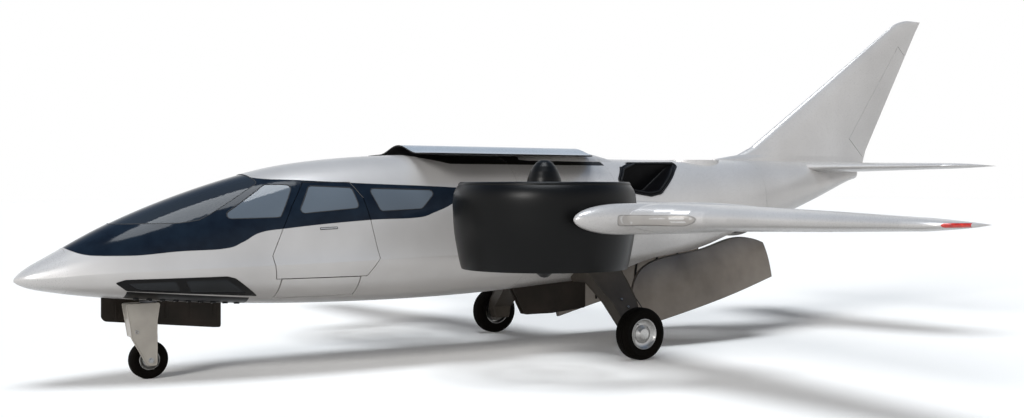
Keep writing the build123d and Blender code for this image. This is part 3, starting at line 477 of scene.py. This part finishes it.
def sharp_edges(node, angle=40):
    """The edges of a CAD node where its faces meet at more than an angle, as an edge mesh."""
    work = bmesh.new()
    work.from_mesh(NODES[node].data)
    bmesh.ops.remove_doubles(work, verts=work.verts, dist=0.00005)
    kept = [edge for edge in work.edges if len(edge.link_faces) == 2
            and edge.calc_face_angle(0) > radians(angle)]
    mesh = bpy.data.meshes.new(node + "_edges")
    points = [tuple(vert.co) for edge in kept for vert in edge.verts]
    mesh.from_pydata(points, [(2 * n, 2 * n + 1) for n in range(len(kept))], [])
    work.free()
    tidy = bmesh.new()
    tidy.from_mesh(mesh)
    bmesh.ops.remove_doubles(tidy, verts=tidy.verts, dist=0.00005)
    tidy.to_mesh(mesh)
    tidy.free()
    return mesh


for node, body in (("windscreen", "airframe"), ("side_windows", "airframe"), ("door_window", "cabin_door")):
    seal = modified(node + "_seal", sharp_edges(node), bead_tree, {
        "Material": rubber, "Radius": 0.0055, "Step": 0.03, "Sides": 8})
    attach(seal, body)


# Chin windows: one smoked pane on each side, behind a moulded black frame that shows it as two lights.
def rounded(corners, radius, steps=5):
    """An outline with its corners turned to curves."""
    outline = []
    for number, corner in enumerate(corners):
        here = Vector(corner)
        back = Vector(corners[number - 1]) - here
        on = Vector(corners[(number + 1) % len(corners)]) - here
        reach = min(radius, back.length * 0.45, on.length * 0.45)
        start, end = here + back.normalized() * reach, here + on.normalized() * reach
        for step in range(steps + 1):
            share = step / steps
            outline.append(tuple((1 - share) ** 2 * start + 2 * share * (1 - share) * here
                                 + share ** 2 * end))
    return outline


def inside(point, outline):
    """True if a flat point lies inside an outline."""
    hit = False
    for (ax, ay), (bx, by) in zip(outline, outline[1:] + outline[:1]):
        if (ay > point[1]) != (by > point[1]) and point[0] < (bx - ax) * (point[1] - ay) / (by - ay) + ax:
            hit = not hit
    return hit


def spaced(outline, step):
    """An outline with points added so that none are further apart than step."""
    points = []
    for start, end in zip(outline, outline[1:] + outline[:1]):
        count = max(1, int((Vector(end) - Vector(start)).length / step + 0.999))
        points += [tuple(Vector(start).lerp(Vector(end), n / count)) for n in range(count)]
    return points


def skin_patch(name, outline, holes, surface, rise, sink, side=1, step=0.045, reach=2.5):
    """A plate that follows the body's side: its outline in stations and heights, holes cut through it."""
    loops = [spaced(loop, step) for loop in [outline] + holes]
    flat, edges = [], []
    for loop in loops:
        start = len(flat)
        flat += [Vector(point) for point in loop]
        edges += [(start + n, start + (n + 1) % len(loop)) for n in range(len(loop))]
    low = [min(point[axis] for point in loops[0]) for axis in (0, 1)]
    high = [max(point[axis] for point in loops[0]) for axis in (0, 1)]
    rows = [int((high[axis] - low[axis]) / step) + 1 for axis in (0, 1)]
    for row in range(rows[0]):
        for column in range(rows[1]):
            point = (low[0] + step * (row + 0.5), low[1] + step * (column + 0.5))
            if inside(point, loops[0]) and not any(inside(point, loop) for loop in loops[1:]):
                flat.append(Vector(point))
    points, _, faces, _, _, _ = delaunay_2d_cdt(flat, edges, [], 0, 0.0004)
    kept = []
    for face in faces:
        middle = sum((points[corner] for corner in face), Vector((0, 0))) / len(face)
        if inside(middle, loops[0]) and not any(inside(middle, loop) for loop in loops[1:]):
            kept.append(face)
    tops, feet = [], []
    for point in points:
        place, out, _, _ = surface.ray_cast(Vector((reach * side, at(point[0]), point[1])),
                                            Vector((-side, 0, 0)))
        if place is None:
            place, out = surface.find_nearest(Vector((0.5 * side, at(point[0]), point[1])))[:2]
        tops.append(place + out * rise)
        feet.append(place - out * sink)
    count = len(points)
    solid = [tuple(face) for face in kept]
    solid += [tuple(count + corner for corner in reversed(face)) for face in kept]
    borders = {}
    for face in kept:
        for start, end in zip(face, face[1:] + face[:1]):
            borders[(start, end)] = borders.get((start, end), 0) + 1
    for start, end in borders:
        if (end, start) not in borders:
            solid.append((end, start, count + start, count + end))
    mesh = bpy.data.meshes.new(name)
    mesh.from_pydata(tops + feet, [], solid)
    return cleaned(mesh)


def cleaned(mesh):
    """A mesh with its doubles merged, its stray points gone and its normals turned outwards."""
    work = bmesh.new()
    work.from_mesh(mesh)
    bmesh.ops.remove_doubles(work, verts=work.verts, dist=0.00002)
    bmesh.ops.delete(work, geom=[vert for vert in work.verts if not vert.link_faces], context="VERTS")
    bmesh.ops.recalc_face_normals(work, faces=work.faces)
    work.to_mesh(mesh)
    work.free()
    return mesh


def smooth_piece(made, body, smooth=60):
    """Shades a piece smoothly up to an angle and lets it ride on a body."""
    for face in made.data.polygons:
        face.use_smooth = True
    made.data.set_sharp_from_angle(angle=radians(smooth))
    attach(made, body)


def piece(name, mesh, body, material, smooth=35):
    """A finished object of a mesh that rides on a body."""
    made = put(name, mesh)
    mesh.materials.clear()
    mesh.materials.append(material)
    smooth_piece(made, body, smooth)
    return made


def as_mesh(work, name):
    """A bmesh as a new mesh."""
    mesh = bpy.data.meshes.new(name)
    work.to_mesh(mesh)
    work.free()
    return mesh


def merged(name, meshes):
    """Several meshes as one."""
    work = bmesh.new()
    for mesh in meshes:
        work.from_mesh(mesh)
    return as_mesh(work, name)


smoked = finish("smoked_acrylic", "1B1E21", "26292D", 500, 1.0, (300, 1.0, 0.03, 1.0), roughness=0.08,
                ior=1.49, specular_ior_level=0.16)
moulding = finish("black_abs_moulding", "0C0C0D", "131314", 3, 2.0, (3, 2.0, 0.12, 0.3), roughness=0.35,
                  specular_ior_level=0.12)
finish_node("chin_windows", smoked)
SIDES = ((1, "left"), (-1, "right"))
CHIN_FRAME = rounded([(0.768, 0.922), (0.847, 0.949), (1.706, 0.959), (1.782, 0.938), (2.037, 0.758),
                      (0.877, 0.845)], 0.02)
CHIN_LIGHTS = [rounded([(0.864, 0.915), (1.261, 0.925), (1.335, 0.822), (0.967, 0.853)], 0.018),
               rounded([(1.350, 0.926), (1.700, 0.930), (1.924, 0.793), (1.423, 0.813)], 0.018)]
chin_surface = surface_of("cabin_shell", "chin_windows", "chin_lamps", "nose_cone")
for side, label in SIDES:
    frame_plate = skin_patch(f"chin_frame_{label}", CHIN_FRAME, CHIN_LIGHTS, chin_surface, 0.004, 0.006,
                             side)
    piece(f"chin_frame_{label}", frame_plate, "airframe", moulding)


# Chin lamps: a black tray on each side with nine small round lamps. Each is a smoked dome in a black
# ring. A bright metal crescent laid along each dome's lower edge is a painted highlight.
def lathe(profile, steps=48):
    """A solid turned from an outline of (radius, height) points about the Z axis."""
    work = bmesh.new()
    verts = [work.verts.new((radius, 0, height)) for radius, height in profile]
    edges = [work.edges.new(pair) for pair in zip(verts, verts[1:])]
    bmesh.ops.spin(work, geom=verts + edges, cent=(0, 0, 0), axis=(0, 0, 1), angle=2 * pi, steps=steps,
                   use_merge=True)
    bmesh.ops.remove_doubles(work, verts=work.verts, dist=0.00002)
    bmesh.ops.recalc_face_normals(work, faces=work.faces)
    return as_mesh(work, "turned")


def turned_to(mesh, place, axis):
    """A copy of a mesh with its Z axis turned to axis and its origin moved to place."""
    copy = mesh.copy()
    copy.transform(Matrix.Translation(place) @ Vector(axis).to_track_quat("Z", "Y").to_matrix().to_4x4())
    return copy


copy_tree, given = new_tree("copies_on_points")
copy_tree.interface.new_socket("Unit", in_out="INPUT", socket_type="NodeSocketObject")
copy_unit = add(copy_tree, "GeometryNodeObjectInfo", {"Object": given.outputs["Unit"]})
copy_out = add(copy_tree, "GeometryNodeInputNamedAttribute", {"Name": "out"}, data_type="FLOAT_VECTOR")
copy_turn = add(copy_tree, "FunctionNodeAlignRotationToVector", {"Vector": copy_out}, axis="Z")
copy_placed = add(copy_tree, "GeometryNodeInstanceOnPoints", {
    "Points": given.outputs["Geometry"], "Instance": copy_unit.outputs["Geometry"], "Rotation": copy_turn})
close_tree(copy_tree, given, copy_placed)


def copies(name, unit_mesh, places, body, material, smooth=35):
    """A mesh repeated at (place, direction) points, by Geometry Nodes, as one piece."""
    unit = put(name + "_unit", unit_mesh)
    made = modified(name, path_mesh(name, [[place] for place in places], closed=False), copy_tree, {
        "Material": material, "Unit": unit})
    bpy.data.objects.remove(unit)
    smooth_piece(made, body, smooth)


tray = finish("gloss_black_tray", "060607", "0C0C0E", 60, 3.0, (25, 3.0, 0.06, 0.5), roughness=0.32,
              specular_ior_level=0.06)
finish_node("chin_lamps", tray)
crescent_highlight_metal = finish("bright_metal_for_painted_highlight", "8F8D8A", "A9A8A5", 12, rub=(12, 3.0, 0.12, 0.25),
                   metallic=1.0)
LAMP_RADIUS = 0.027
lamp_ring = lathe([(LAMP_RADIUS - 0.006, -0.002), (LAMP_RADIUS - 0.005, 0.007), (LAMP_RADIUS - 0.002, 0.010),
                   (LAMP_RADIUS, 0.007), (LAMP_RADIUS + 0.001, -0.002)], 24)
lamp_dome = lathe([(LAMP_RADIUS - 0.006, 0.001), (0.015, 0.007), (0.008, 0.010), (0, 0.011)], 20)
lamp_places = []
lamp_surface = surface_of("chin_lamps")
for number in range(9):
    for side in (1, -1):
        station = 1.0 + number * 0.117
        height = 0.800 - 0.095 * (station - 0.88) / 1.1
        place, out, _, _ = lamp_surface.ray_cast(Vector((2.0 * side, at(station), height - 0.03)),
                                                 Vector((-side, 0, 0)))
        if place:
            lamp_places.append((place, out))
copies("chin_lamp_rings", lamp_ring, lamp_places, "airframe", moulding)
lens = finish("smoked_polycarbonate_lens", "0B0B0C", "16171A", 15, roughness=0.12, specular_ior_level=0.14)
copies("chin_lamp_domes", lamp_dome, lamp_places, "airframe", lens)
# Painted highlight: bright metal bars along the domes' lower edges stand for the crescents of light seen
# there.
CRESCENT_RADIUS = 0.0195
CRESCENT_RISE = 0.0085
crescents = []
for place, out in lamp_places:
    forward = Vector((0, -1, 0))
    down = out.cross(forward).normalized() if out.x > 0 else forward.cross(out).normalized()
    down = -down if down.z > 0 else down
    turns = [radians(step * 12 + 8) for step in range(7)]
    crescents.append([(place + (down * cos(turn) + forward * sin(turn)) * CRESCENT_RADIUS
                       + out * CRESCENT_RISE, out) for turn in turns])
highlight_crescent_bars = modified("chin_lamp_crescents", path_mesh("crescents", crescents, closed=False), bead_tree,
                         {"Material": crescent_highlight_metal, "Radius": 0.0026, "Step": 0.005, "Sides": 6})
smooth_piece(highlight_crescent_bars, "airframe")

# Cabin: six leather seats with sewn channels, a dark panel with three displays under its hood, and
# a lined floor and bulkhead.
for node in ("cabin_floor", "cabin_bulkhead"):
    finish_node(node, lining)
leather = finish("grained_seat_leather", "4B433B", "63594E", 7, 3.0, (7, 3.0, 0.35, 0.6), roughness=0.5)
SEAT_ROWS = (2.15, 3.03, 3.91)
SEAT_OFFSET = 0.275
FLOOR_HEIGHT = 0.79
CUSHION_SIZE = (0.42, 0.47, 0.17)
BACK_SIZE = (0.325, 0.11, 0.55)
CHANNEL_DEPTH = 0.006


def cushion(size, channels, crown):
    """A crowned pad: soft corners, sides drawn in between them, and sewn channels across its face."""
    work = bmesh.new()
    bmesh.ops.create_cube(work, size=2)
    bmesh.ops.subdivide_edges(work, edges=work.edges, cuts=11, use_grid_fill=True)
    for vert in work.verts:
        x, y, z = vert.co
        round_off = 1 - 0.10 * (x ** 6 * y ** 6 + y ** 6 * z ** 6 + x ** 6 * z ** 6)
        swell = 1 - 0.05 * (1 - y * y) * abs(x) ** 3 * 0.6
        lift = crown * (1 - x ** 4) * (1 - y ** 4) if z > 0 else 0
        sewn = sum(max(0, 1 - abs(y - line) * 9) for line in channels) if z > 0.5 else 0
        vert.co = Vector((x * round_off * swell * size[0] / 2, y * round_off * size[1] / 2,
                          z * round_off * size[2] / 2 * 0.88 + lift * size[2] / 2 - sewn * CHANNEL_DEPTH))
    bmesh.ops.recalc_face_normals(work, faces=work.faces)
    return as_mesh(work, "cushion")


def placed(mesh, place, turn=0.0):
    """A copy of a mesh tipped about X and moved to place."""
    copy = mesh.copy()
    copy.transform(Matrix.Translation(place) @ Matrix.Rotation(turn, 4, "X"))
    return copy


seat_pad = cushion(CUSHION_SIZE, (-0.4, 0.0, 0.4), 0.12)
seat_back = cushion((BACK_SIZE[0], BACK_SIZE[2], BACK_SIZE[1]), (-0.5, -0.15, 0.2, 0.55), 0.10)
leathers = []
for row in SEAT_ROWS:
    for offset in (SEAT_OFFSET, -SEAT_OFFSET):
        leathers.append(placed(seat_pad, (offset, at(row + 0.24), FLOOR_HEIGHT + 0.27)))
        leathers.append(placed(seat_back, (offset, at(row + 0.462), FLOOR_HEIGHT + 0.484), pi / 2))
seat_pads = piece("seat_pads", merged("seat_pads", leathers), "airframe", leather, 60)
soften = seat_pads.modifiers.new("soften", "SUBSURF")
soften.levels = soften.render_levels = 1
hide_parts("seats")
pedestal = lathe([(0, 0), (0.085, 0), (0.08, 0.03), (0.05, 0.05), (0.045, 0.15), (0.08, 0.19),
                  (0, 0.19)], 24)
pedestals = [placed(pedestal, (offset, at(row + 0.24), FLOOR_HEIGHT))
             for row in SEAT_ROWS for offset in (SEAT_OFFSET, -SEAT_OFFSET)]
piece("seat_pedestals", merged("seat_pedestals", pedestals), "airframe", moulding)

finish_node("instrument_panel", moulding)


def bevelled(low, high, bevel, segments=2):
    """A block with its edges broken."""
    work = bmesh.new()
    bmesh.ops.create_cube(work, size=1)
    for vert in work.verts:
        vert.co = Vector([low[axis] if vert.co[axis] < 0 else high[axis] for axis in range(3)])
    bmesh.ops.bevel(work, geom=list(work.edges) + list(work.verts), offset=bevel, segments=segments,
                    affect="EDGES", profile=0.5)
    bmesh.ops.recalc_face_normals(work, faces=work.faces)
    return as_mesh(work, "block")


display = finish("display_glass", "0A0F16", "13202C", 90, roughness=0.08, coat_weight=0.5)
panel_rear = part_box("instrument_panel")[1].y
screens = [bevelled((middle - 0.115, panel_rear - 0.002, 1.13), (middle + 0.115, panel_rear + 0.008, 1.28),
                    0.004) for middle in (-0.26, 0.0, 0.26)]
piece("panel_displays", merged("panel_displays", screens), "airframe", display)
panel_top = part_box("instrument_panel")[1].z
hood = bevelled((-0.36, panel_rear - 0.14, panel_top - 0.004),
                (0.36, panel_rear + 0.07, panel_top + 0.022), 0.010, 3)
piece("panel_hood", hood, "airframe", moulding)

# Door handle: a flush paddle of anodised aluminium in a slim rubber bezel, on the upper door's outside.
# Its satin grain gives a soft bright line on the lacquer.
door_surface = surface_of("cabin_door")
HANDLE = [(2.598, 1.362), (2.773, 1.368), (2.773, 1.391), (2.598, 1.385)]
HANDLE_GAP = 0.005
handle_inner = [(station + HANDLE_GAP * aft, height + HANDLE_GAP * up)
                for (station, height), (aft, up) in zip(HANDLE, ((1, 1), (-1, 1), (-1, -1), (1, -1)))]
bezel = skin_patch("door_handle_bezel", rounded(HANDLE, 0.008), [rounded(handle_inner, 0.005)], door_surface,
                   0.0015, 0.003, step=0.02)
piece("door_handle_bezel", bezel, "cabin_door", rubber)
satin_alloy = finish("satin_anodised_aluminium", "A9A8A6", "BFBEBC", 18, 4.0, rub=(18, 4.0, 0.28, 0.42),
                     metallic=1.0)
paddle = skin_patch("door_handle", rounded(handle_inner, 0.005), [], door_surface, 0.0028, 0.002, step=0.02)
piece("door_handle", paddle, "cabin_door", satin_alloy)

# Roof under the fan lid and intakes: black pieces let into the roof and shoulders, nearly without a
# highlight. The piece under the lid is bare carbon, dark as a painted shadow of the lid. Each intake
# has a rolled lip, which catches a thin light.
finish_node("lid_deck", bay_grey)
finish_node("intakes", tray)
intake_lip = modified("intake_lips", sharp_edges("intakes", 50), bead_tree, {
    "Material": moulding, "Radius": 0.011, "Step": 0.03, "Sides": 12})
smooth_piece(intake_lip, "airframe")

# Engines: sand-cast alloy cases on the centre section's frame, only their place and bulk shown. The
# casting leaves a dull, coarse grey.
cast = finish("sand_cast_alloy", "5E5E60", "76767A", 10, 4.0, (10, 4.0, 0.4, 1.0), roughness=0.55,
              metallic=0.8)
finish_node("engines", cast)

# Fan lid: one moulded cover that slides on the roof, bare carbon below. Outside, its lacquer is a darker
# blue-grey, a painted reflection of the sky.
lid_sky_reflection_paint = pearl("pearl_with_painted_sky_reflection", False, "96A3B0", "A8B3BE")
finish_node("fan_lid", lid_sky_reflection_paint, bay_grey, lambda face: face.normal.z < 0.05)

# Wings and tail: composite skins in the same lacquer, with a red and a green lens let into the wing
# tips. The wing pods carry the ducts' outer pivots.
for node in ("outer_wings", "inner_wings", "wing_pods", "aileron_left", "aileron_right", "tailplane",
             "elevators", "fin", "rudder"):
    finish_node(node, pearl_plain)
for node, dark, light in (("nav_light_left", "A01810", "D03020"), ("nav_light_right", "0E6A30", "1C9A50")):
    finish_node(node, finish(node + "_lens", dark, light, 25, roughness=0.12, coat_weight=0.6))

# Pod panels: a long round-ended cover let into each pod's outer side, over the duct's bearing. Its grey
# lacquer is darker than the skin, partly as painted shade of a recessed panel, and sealant fills the gap
# round it.
PAINT_TEXTURE = (30, 3.0, 0.06, 0.6)
POD_COVER = rounded([(4.36, 1.435), (4.93, 1.430), (4.93, 1.512), (4.36, 1.518)], 0.035)
POD_GAP = rounded([(4.352, 1.427), (4.938, 1.422), (4.938, 1.520), (4.352, 1.526)], 0.038)
POD_REACH = 3.3
pod_surface = surface_of("wing_pods", "outer_wings")
# Painted shade: the cover's grey is darker than the skin, standing in part for the shading of a recess.
shaded_cover_grey = finish("cover_grey_with_painted_shade", "9B9896", "A8A5A2", 300, 4.0, PAINT_TEXTURE, roughness=0.4,
                    metallic=0.2)
for side, label in SIDES:
    cover = skin_patch(f"pod_cover_{label}", POD_COVER, [], pod_surface, 0.0012, 0.004, side, 0.03,
                       POD_REACH)
    piece(f"pod_cover_{label}", cover, "airframe", shaded_cover_grey)
    gap = skin_patch(f"pod_cover_seal_{label}", POD_GAP, [POD_COVER], pod_surface, 0.0006, 0.004, side,
                     0.03, POD_REACH)
    piece(f"pod_cover_seal_{label}", gap, "airframe", sealant)

# Ducts: carbon shells wound over foam, with their vanes, fans and spinners. The satin lacquer gives
# them broad, weak highlights and hides the weave.
carbon = finish("satin_carbon_shell", "020202", "050505", 700, 3.0, (12, 2.0, 0.06, 0.4),
                (250, 4.0, 0.33, 0.38), specular_ior_level=0.17)
for node in ("duct_left", "duct_right", "fan_left", "fan_right", "rear_fan", "rear_fan_stator"):
    finish_node(node, carbon)

# Undercarriage and lower doors: a grey nose leg, main legs, gear doors and silver fan doors, the last three
# darkened as painted shade under the body, with a bead along their edges, then the wheels with brakes
# inside the main ones.
enamel = finish("grey_enamel_on_steel", "94908A", "A5A19A", 220, 4.0, PAINT_TEXTURE, roughness=0.38,
                coat_weight=0.15)
# Painted shade: the main legs get a darker, browner copy of the legs' grey enamel, standing for the shade
# under the body.
shaded_leg_enamel = finish("leg_enamel_with_painted_shade", "3A3632", "4A453F", 240, 4.0, PAINT_TEXTURE, roughness=0.46,
                    specular_ior_level=0.2)
# Painted shade: the gear doors' enamel is drawn near-black, standing for the shade they hang in under the
# body.
shaded_door_enamel = finish("door_enamel_with_painted_shade", "221F1C", "302B27", 260, 4.0, PAINT_TEXTURE, roughness=0.5,
                     specular_ior_level=0.12)
# Painted shade: the silver fan doors are drawn a darker brown-grey, standing for the shade under the body.
shaded_door_metal = finish("silver_panel_with_painted_shade", "575049", "7A7269", 600, 4.0, PAINT_TEXTURE, roughness=0.36,
                    metallic=0.5, coat_weight=0.2)
zinc = finish("zinc_plated_steel", "8A8B8C", "A6A7A8", 9, 4.0, PAINT_TEXTURE, roughness=0.35, metallic=0.9)
brake_iron = finish("ground_brake_iron", "55534F", "6B6864", 14, 4.0, PAINT_TEXTURE, roughness=0.4,
                    metallic=0.9)
finish_node("nose_leg", enamel)
finish_node("main_legs", shaded_leg_enamel)
for node in ("main_gear_doors", "nose_gear_door"):
    finish_node(node, shaded_door_enamel)
for node in ("fan_door_left", "fan_door_right"):
    finish_node(node, shaded_door_metal)
WELD = {"Step": 0.02, "Sides": 8}
for node, body, paint, slot, radius in (
        ("nose_leg", "nose_leg", enamel, "grey_paint", 0.004),
        ("main_legs", "airframe", shaded_leg_enamel, "grey_paint", 0.006),
        ("nose_gear_door", "airframe", shaded_door_enamel, "grey_paint", 0.003),
        ("main_gear_doors", "airframe", shaded_door_enamel, "grey_paint", 0.003),
        ("fan_door_left", "fan_door_left", rubber, "black_trim", 0.002),
        ("fan_door_right", "fan_door_right", rubber, "black_trim", 0.002)):
    edges = modified(node + "_edges", sharp_edges(node), bead_tree,
                     {"Material": paint, "Radius": radius, **WELD})
    smooth_piece(edges, body)


def bolt(radius, height, steps=6):
    """A washer and a hexagon head with its corners turned off."""
    washer = lathe([(0, 0), (radius * 1.5, 0), (radius * 1.5, height * 0.18), (0, height * 0.18)], 24)
    head = lathe([(0, height * 0.18), (radius * 1.15, height * 0.18), (radius * 1.15, height * 0.85),
                  (radius * 0.95, height), (0, height)], steps)
    return merged("bolt", [washer, head])


AXLE_HEIGHT = {"main": 0.267, "nose": 0.177}
MAIN_WHEEL = (1.435, at(5.78), AXLE_HEIGHT["main"])
NOSE_WHEEL = (0, at(1.17), AXLE_HEIGHT["nose"])


def tyre_profile(radius, half, rim):
    """Half-round walls, two rings moulded on each wall, and four grooves round a slightly crowned tread."""
    wall = [(rim, half * 0.50), (rim + 0.004, half * 0.74), (rim + 0.010, half * 0.86),
            (rim + 0.016, half * 0.84), (rim + 0.020, half * 0.90),
            (radius * 0.80, half * 0.985), (radius * 0.825, half), (radius * 0.84, half * 0.985),
            (radius * 0.90, half * 0.955), (radius * 0.945, half * 0.87), (radius * 0.972, half * 0.76)]
    tread = [(radius * 0.985, half * 0.66)]
    for middle in (0.48, 0.16, -0.16, -0.48):
        crown = radius * (1 - 0.018 * middle * middle)
        tread += [(crown, half * (middle + 0.065)), (crown - 0.007, half * (middle + 0.045)),
                  (crown - 0.007, half * (middle - 0.045)), (crown, half * (middle - 0.065))]
    tread.append((radius * 0.985, -half * 0.66))
    return wall + tread + [(r, -a) for r, a in reversed(wall)] + [(rim, half * 0.50)]


def rim_profile(rim, half, bore):
    """A forged hub: flat cap, raised cone, a turned groove, a dish and a rolled flange, open inboard."""
    shares = [(0, 0.90), (0.34, 0.90), (0.37, 0.87), (0.39, 0.80), (0.50, 0.62), (0.60, 0.50),
              (0.615, 0.40), (0.645, 0.39), (0.66, 0.47), (0.74, 0.50), (0.86, 0.60), (0.93, 0.72),
              (0.97, 0.84), (1.00, 0.88), (1.035, 0.86), (1.04, 0.80), (1.00, 0.74), (0.985, 0.50),
              (0.985, -0.50), (1.00, -0.74), (1.04, -0.80), (1.035, -0.86), (0.98, -0.84), (0.93, -0.60),
              (0.90, -0.20), (0.60, -0.12), (0.34, -0.30), (0.30, -0.60)]
    hub = [(rim * outward, half * along) for outward, along in shares]
    return hub + [(bore, -half * 0.60), (bore, half * 0.70), (0, half * 0.70)]


tread_rubber = finish("tyre_rubber", "080706", "110F0D", 9, 3.0, (9, 3.0, 0.15, 0.5), roughness=0.62,
                      specular_ior_level=0.03)


def wheel(prefix, body, centre, radius, width, rim, side):
    """A tyre, rim, rim bolts and valve for one wheel, outboard face towards side."""
    half = width / 2
    out = Vector((side, 0, 0))
    rubber_ring = turned_to(lathe(tyre_profile(radius, half, rim), 96), centre, out)
    tyre = piece(prefix + "_tyre_ring", rubber_ring, body, tread_rubber, 40)
    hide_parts(prefix + "_tyre")
    hub = turned_to(lathe(rim_profile(rim, half, 0.0215), 72), centre, out)
    disc = piece(prefix + "_rim_forging", hub, body, satin_alloy, 30)
    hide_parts(prefix + "_rim")
    tie = bolt(0.0035, 0.006)
    places = []
    for number in range(8):
        turn = 2 * pi * (number + 0.5) / 8
        spot = Vector(centre) - out * half * 0.20 + Vector((0, cos(turn), sin(turn))) * rim * 0.78
        places.append((spot, -out))
    copies(prefix + "_rim_bolts", tie, places, body, zinc, 30)
    stem = lathe([(0, 0), (0.004, 0), (0.004, 0.016), (0.0028, 0.018), (0.0028, 0.026), (0, 0.027)], 12)
    foot = Vector(centre) + out * half * 0.58 + Vector((0, cos(2.2), sin(2.2))) * rim * 0.80
    piece(prefix + "_valve", turned_to(stem, foot, out + Vector((0, 0.2, 0))), body, rubber,
          40)


wheel("nose", "nose_wheel", NOSE_WHEEL, 0.177, 0.116, 0.090, 1)
for side, label in SIDES:
    body = f"main_wheel_{label}"
    centre = (MAIN_WHEEL[0] * side, MAIN_WHEEL[1], MAIN_WHEEL[2])
    wheel(f"main_{label}", body, centre, 0.267, 0.168, 0.150, side)
    inward = Vector((-side, 0, 0))
    brake = lathe([(0.060, 0), (0.118, 0), (0.120, 0.002), (0.120, 0.008), (0.118, 0.010),
                   (0.060, 0.010), (0.060, 0)], 60)
    piece(f"brake_disc_{label}", turned_to(brake, Vector(centre) + inward * 0.052, inward), body, brake_iron,
          30)
    spot = (centre[0] - side * 0.066, centre[1] + 0.092, centre[2] + 0.040)
    caliper = bevelled((spot[0] - 0.030, spot[1] - 0.024, spot[2] - 0.045),
                       (spot[0] + 0.018, spot[1] + 0.024, spot[2] + 0.045), 0.008, 3)
    piece(f"brake_caliper_{label}", caliper, "airframe", cast, 40)
    hose_line = [Vector(spot) + Vector((-side * 0.03, 0.0, 0.03)),
                 Vector(spot) + Vector((-side * 0.09, 0.05, 0.10)),
                 Vector((1.20 * side, at(5.992), 0.50)), Vector((0.98 * side, at(6.005), 0.68)),
                 Vector((0.80 * side, at(6.005), 0.80))]
    hose_path = path_mesh("hose", [[(place, Vector((0, 0, 1))) for place in hose_line]], closed=False)
    hose = modified(f"brake_hose_{label}", hose_path, bead_tree,
                    {"Material": rubber, "Radius": 0.005, "Step": 0.03, "Sides": 10})
    smooth_piece(hose, "airframe")
    boss = lathe([(0, 0), (0.052, 0), (0.052, 0.012), (0.046, 0.020), (0.030, 0.022), (0, 0.022)], 48)
    foot = Vector((1.335 * side - side * 0.002, centre[1], centre[2]))
    piece(f"axle_boss_{label}", turned_to(boss, foot, -inward), "airframe", cast, 30)

# Leg fittings: two zinc-plated bolts in shallow cups high on each main leg, the nut of the nose axle, the
# lips of the tow-bar bore and the cast collar that the nose leg turns in.
leg_surface = surface_of("main_legs")
leg_cup = lathe([(0, 0.004), (0.017, 0.004), (0.019, 0.003), (0.020, 0), (0.021, -0.004), (0, -0.004)], 32)
leg_bolts, leg_cups = [], []
for station, height in ((5.777, 0.592), (5.807, 0.518)):
    for side in (1, -1):
        place, out, _, _ = leg_surface.ray_cast(Vector((2.0 * side, at(station), height)),
                                                Vector((-side, 0, 0)))
        leg_cups.append((place, out))
        leg_bolts.append((place + out * 0.003, out))
copies("main_leg_bolts", bolt(0.008, 0.012), leg_bolts, "airframe", zinc, 30)
copies("main_leg_cups", leg_cup, leg_cups, "airframe", rubber, 30)
nose_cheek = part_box("nose_leg")[1].x
nut_place = (Vector((nose_cheek - 0.001, at(1.17), AXLE_HEIGHT["nose"])), Vector((1, 0, 0)))
copies("nose_axle_nut", bolt(0.017, 0.018), [nut_place], "nose_leg", zinc, 30)
tow_lip = lathe([(0.0102, -0.002), (0.0102, 0.004), (0.0125, 0.0055), (0.016, 0.004), (0.017, -0.002),
                 (0.0102, -0.002)], 32)
tow_places = [(Vector((0.100, at(1.04), 0.445)), Vector((1, 0, 0))),
              (Vector((-0.055, at(1.04), 0.445)), Vector((-1, 0, 0)))]
copies("tow_bar_lips", tow_lip, tow_places, "nose_leg", zinc, 30)
collar = lathe([(0.0405, 0), (0.075, 0), (0.080, 0.006), (0.080, 0.020), (0.062, 0.030),
                (0.0405, 0.032), (0.0405, 0)], 60)
piece("steering_collar", turned_to(collar, (0, at(1.17), 0.700), (0, 0, 1)), "nose_leg", cast,
      30)

# Door stiffeners: pressed ribs across the inner face of each fan door, and short ones on the gear
# doors, to hold the flat panels stiff.
def on_surface(surface, start, way, lift):
    """The place where a ray meets a surface, lifted off it, with the surface's outward normal."""
    place, out, _, _ = surface.ray_cast(Vector(start), Vector(way))
    return (place + out * lift, out) if place else None


for node, inner_way in (("fan_door_left", (1, 0, 0)), ("fan_door_right", (-1, 0, 0))):
    door_skin = surface_of(node)
    low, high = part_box(node)
    rows = []
    for number in range(6):
        y = low.y + (high.y - low.y) * (0.16 + 0.135 * number)
        row = []
        for step in range(24):
            z = low.z + (high.z - low.z) * (step + 0.5) / 24
            hit = on_surface(door_skin, (0.0, y, z), inner_way, 0.004)
            if hit:
                row.append(hit)
        if len(row) > 3:
            rows.append(row[1:-1])
    ribs = modified(node + "_ribs", path_mesh(node + "_ribs", rows, closed=False), bead_tree,
                    {"Material": bay_grey, "Radius": 0.014, "Step": 0.04, "Sides": 8})
    smooth_piece(ribs, node)
RIB_HALF_WIDTH = 0.012


def door_rib(near, far, station, low, high):
    """A rib across a gear door, from near to far in X."""
    return bevelled((near, at(station) - RIB_HALF_WIDTH, low),
                    (far, at(station) + RIB_HALF_WIDTH, high), 0.003)


door_ribs = [door_rib(-0.201, -0.193, 0.93 + (1.86 - 0.93) * number / 4, 0.52, 0.70) for number in range(5)]
for side in (1, -1):
    near, far = sorted((0.017 * side, 0.024 * side))
    door_ribs += [door_rib(near, far, 5.36 + 0.20 * number, 0.43, 0.66) for number in range(4)]
piece("gear_door_ribs", merged("gear_door_ribs", door_ribs), "airframe", shaded_door_enamel, 40)
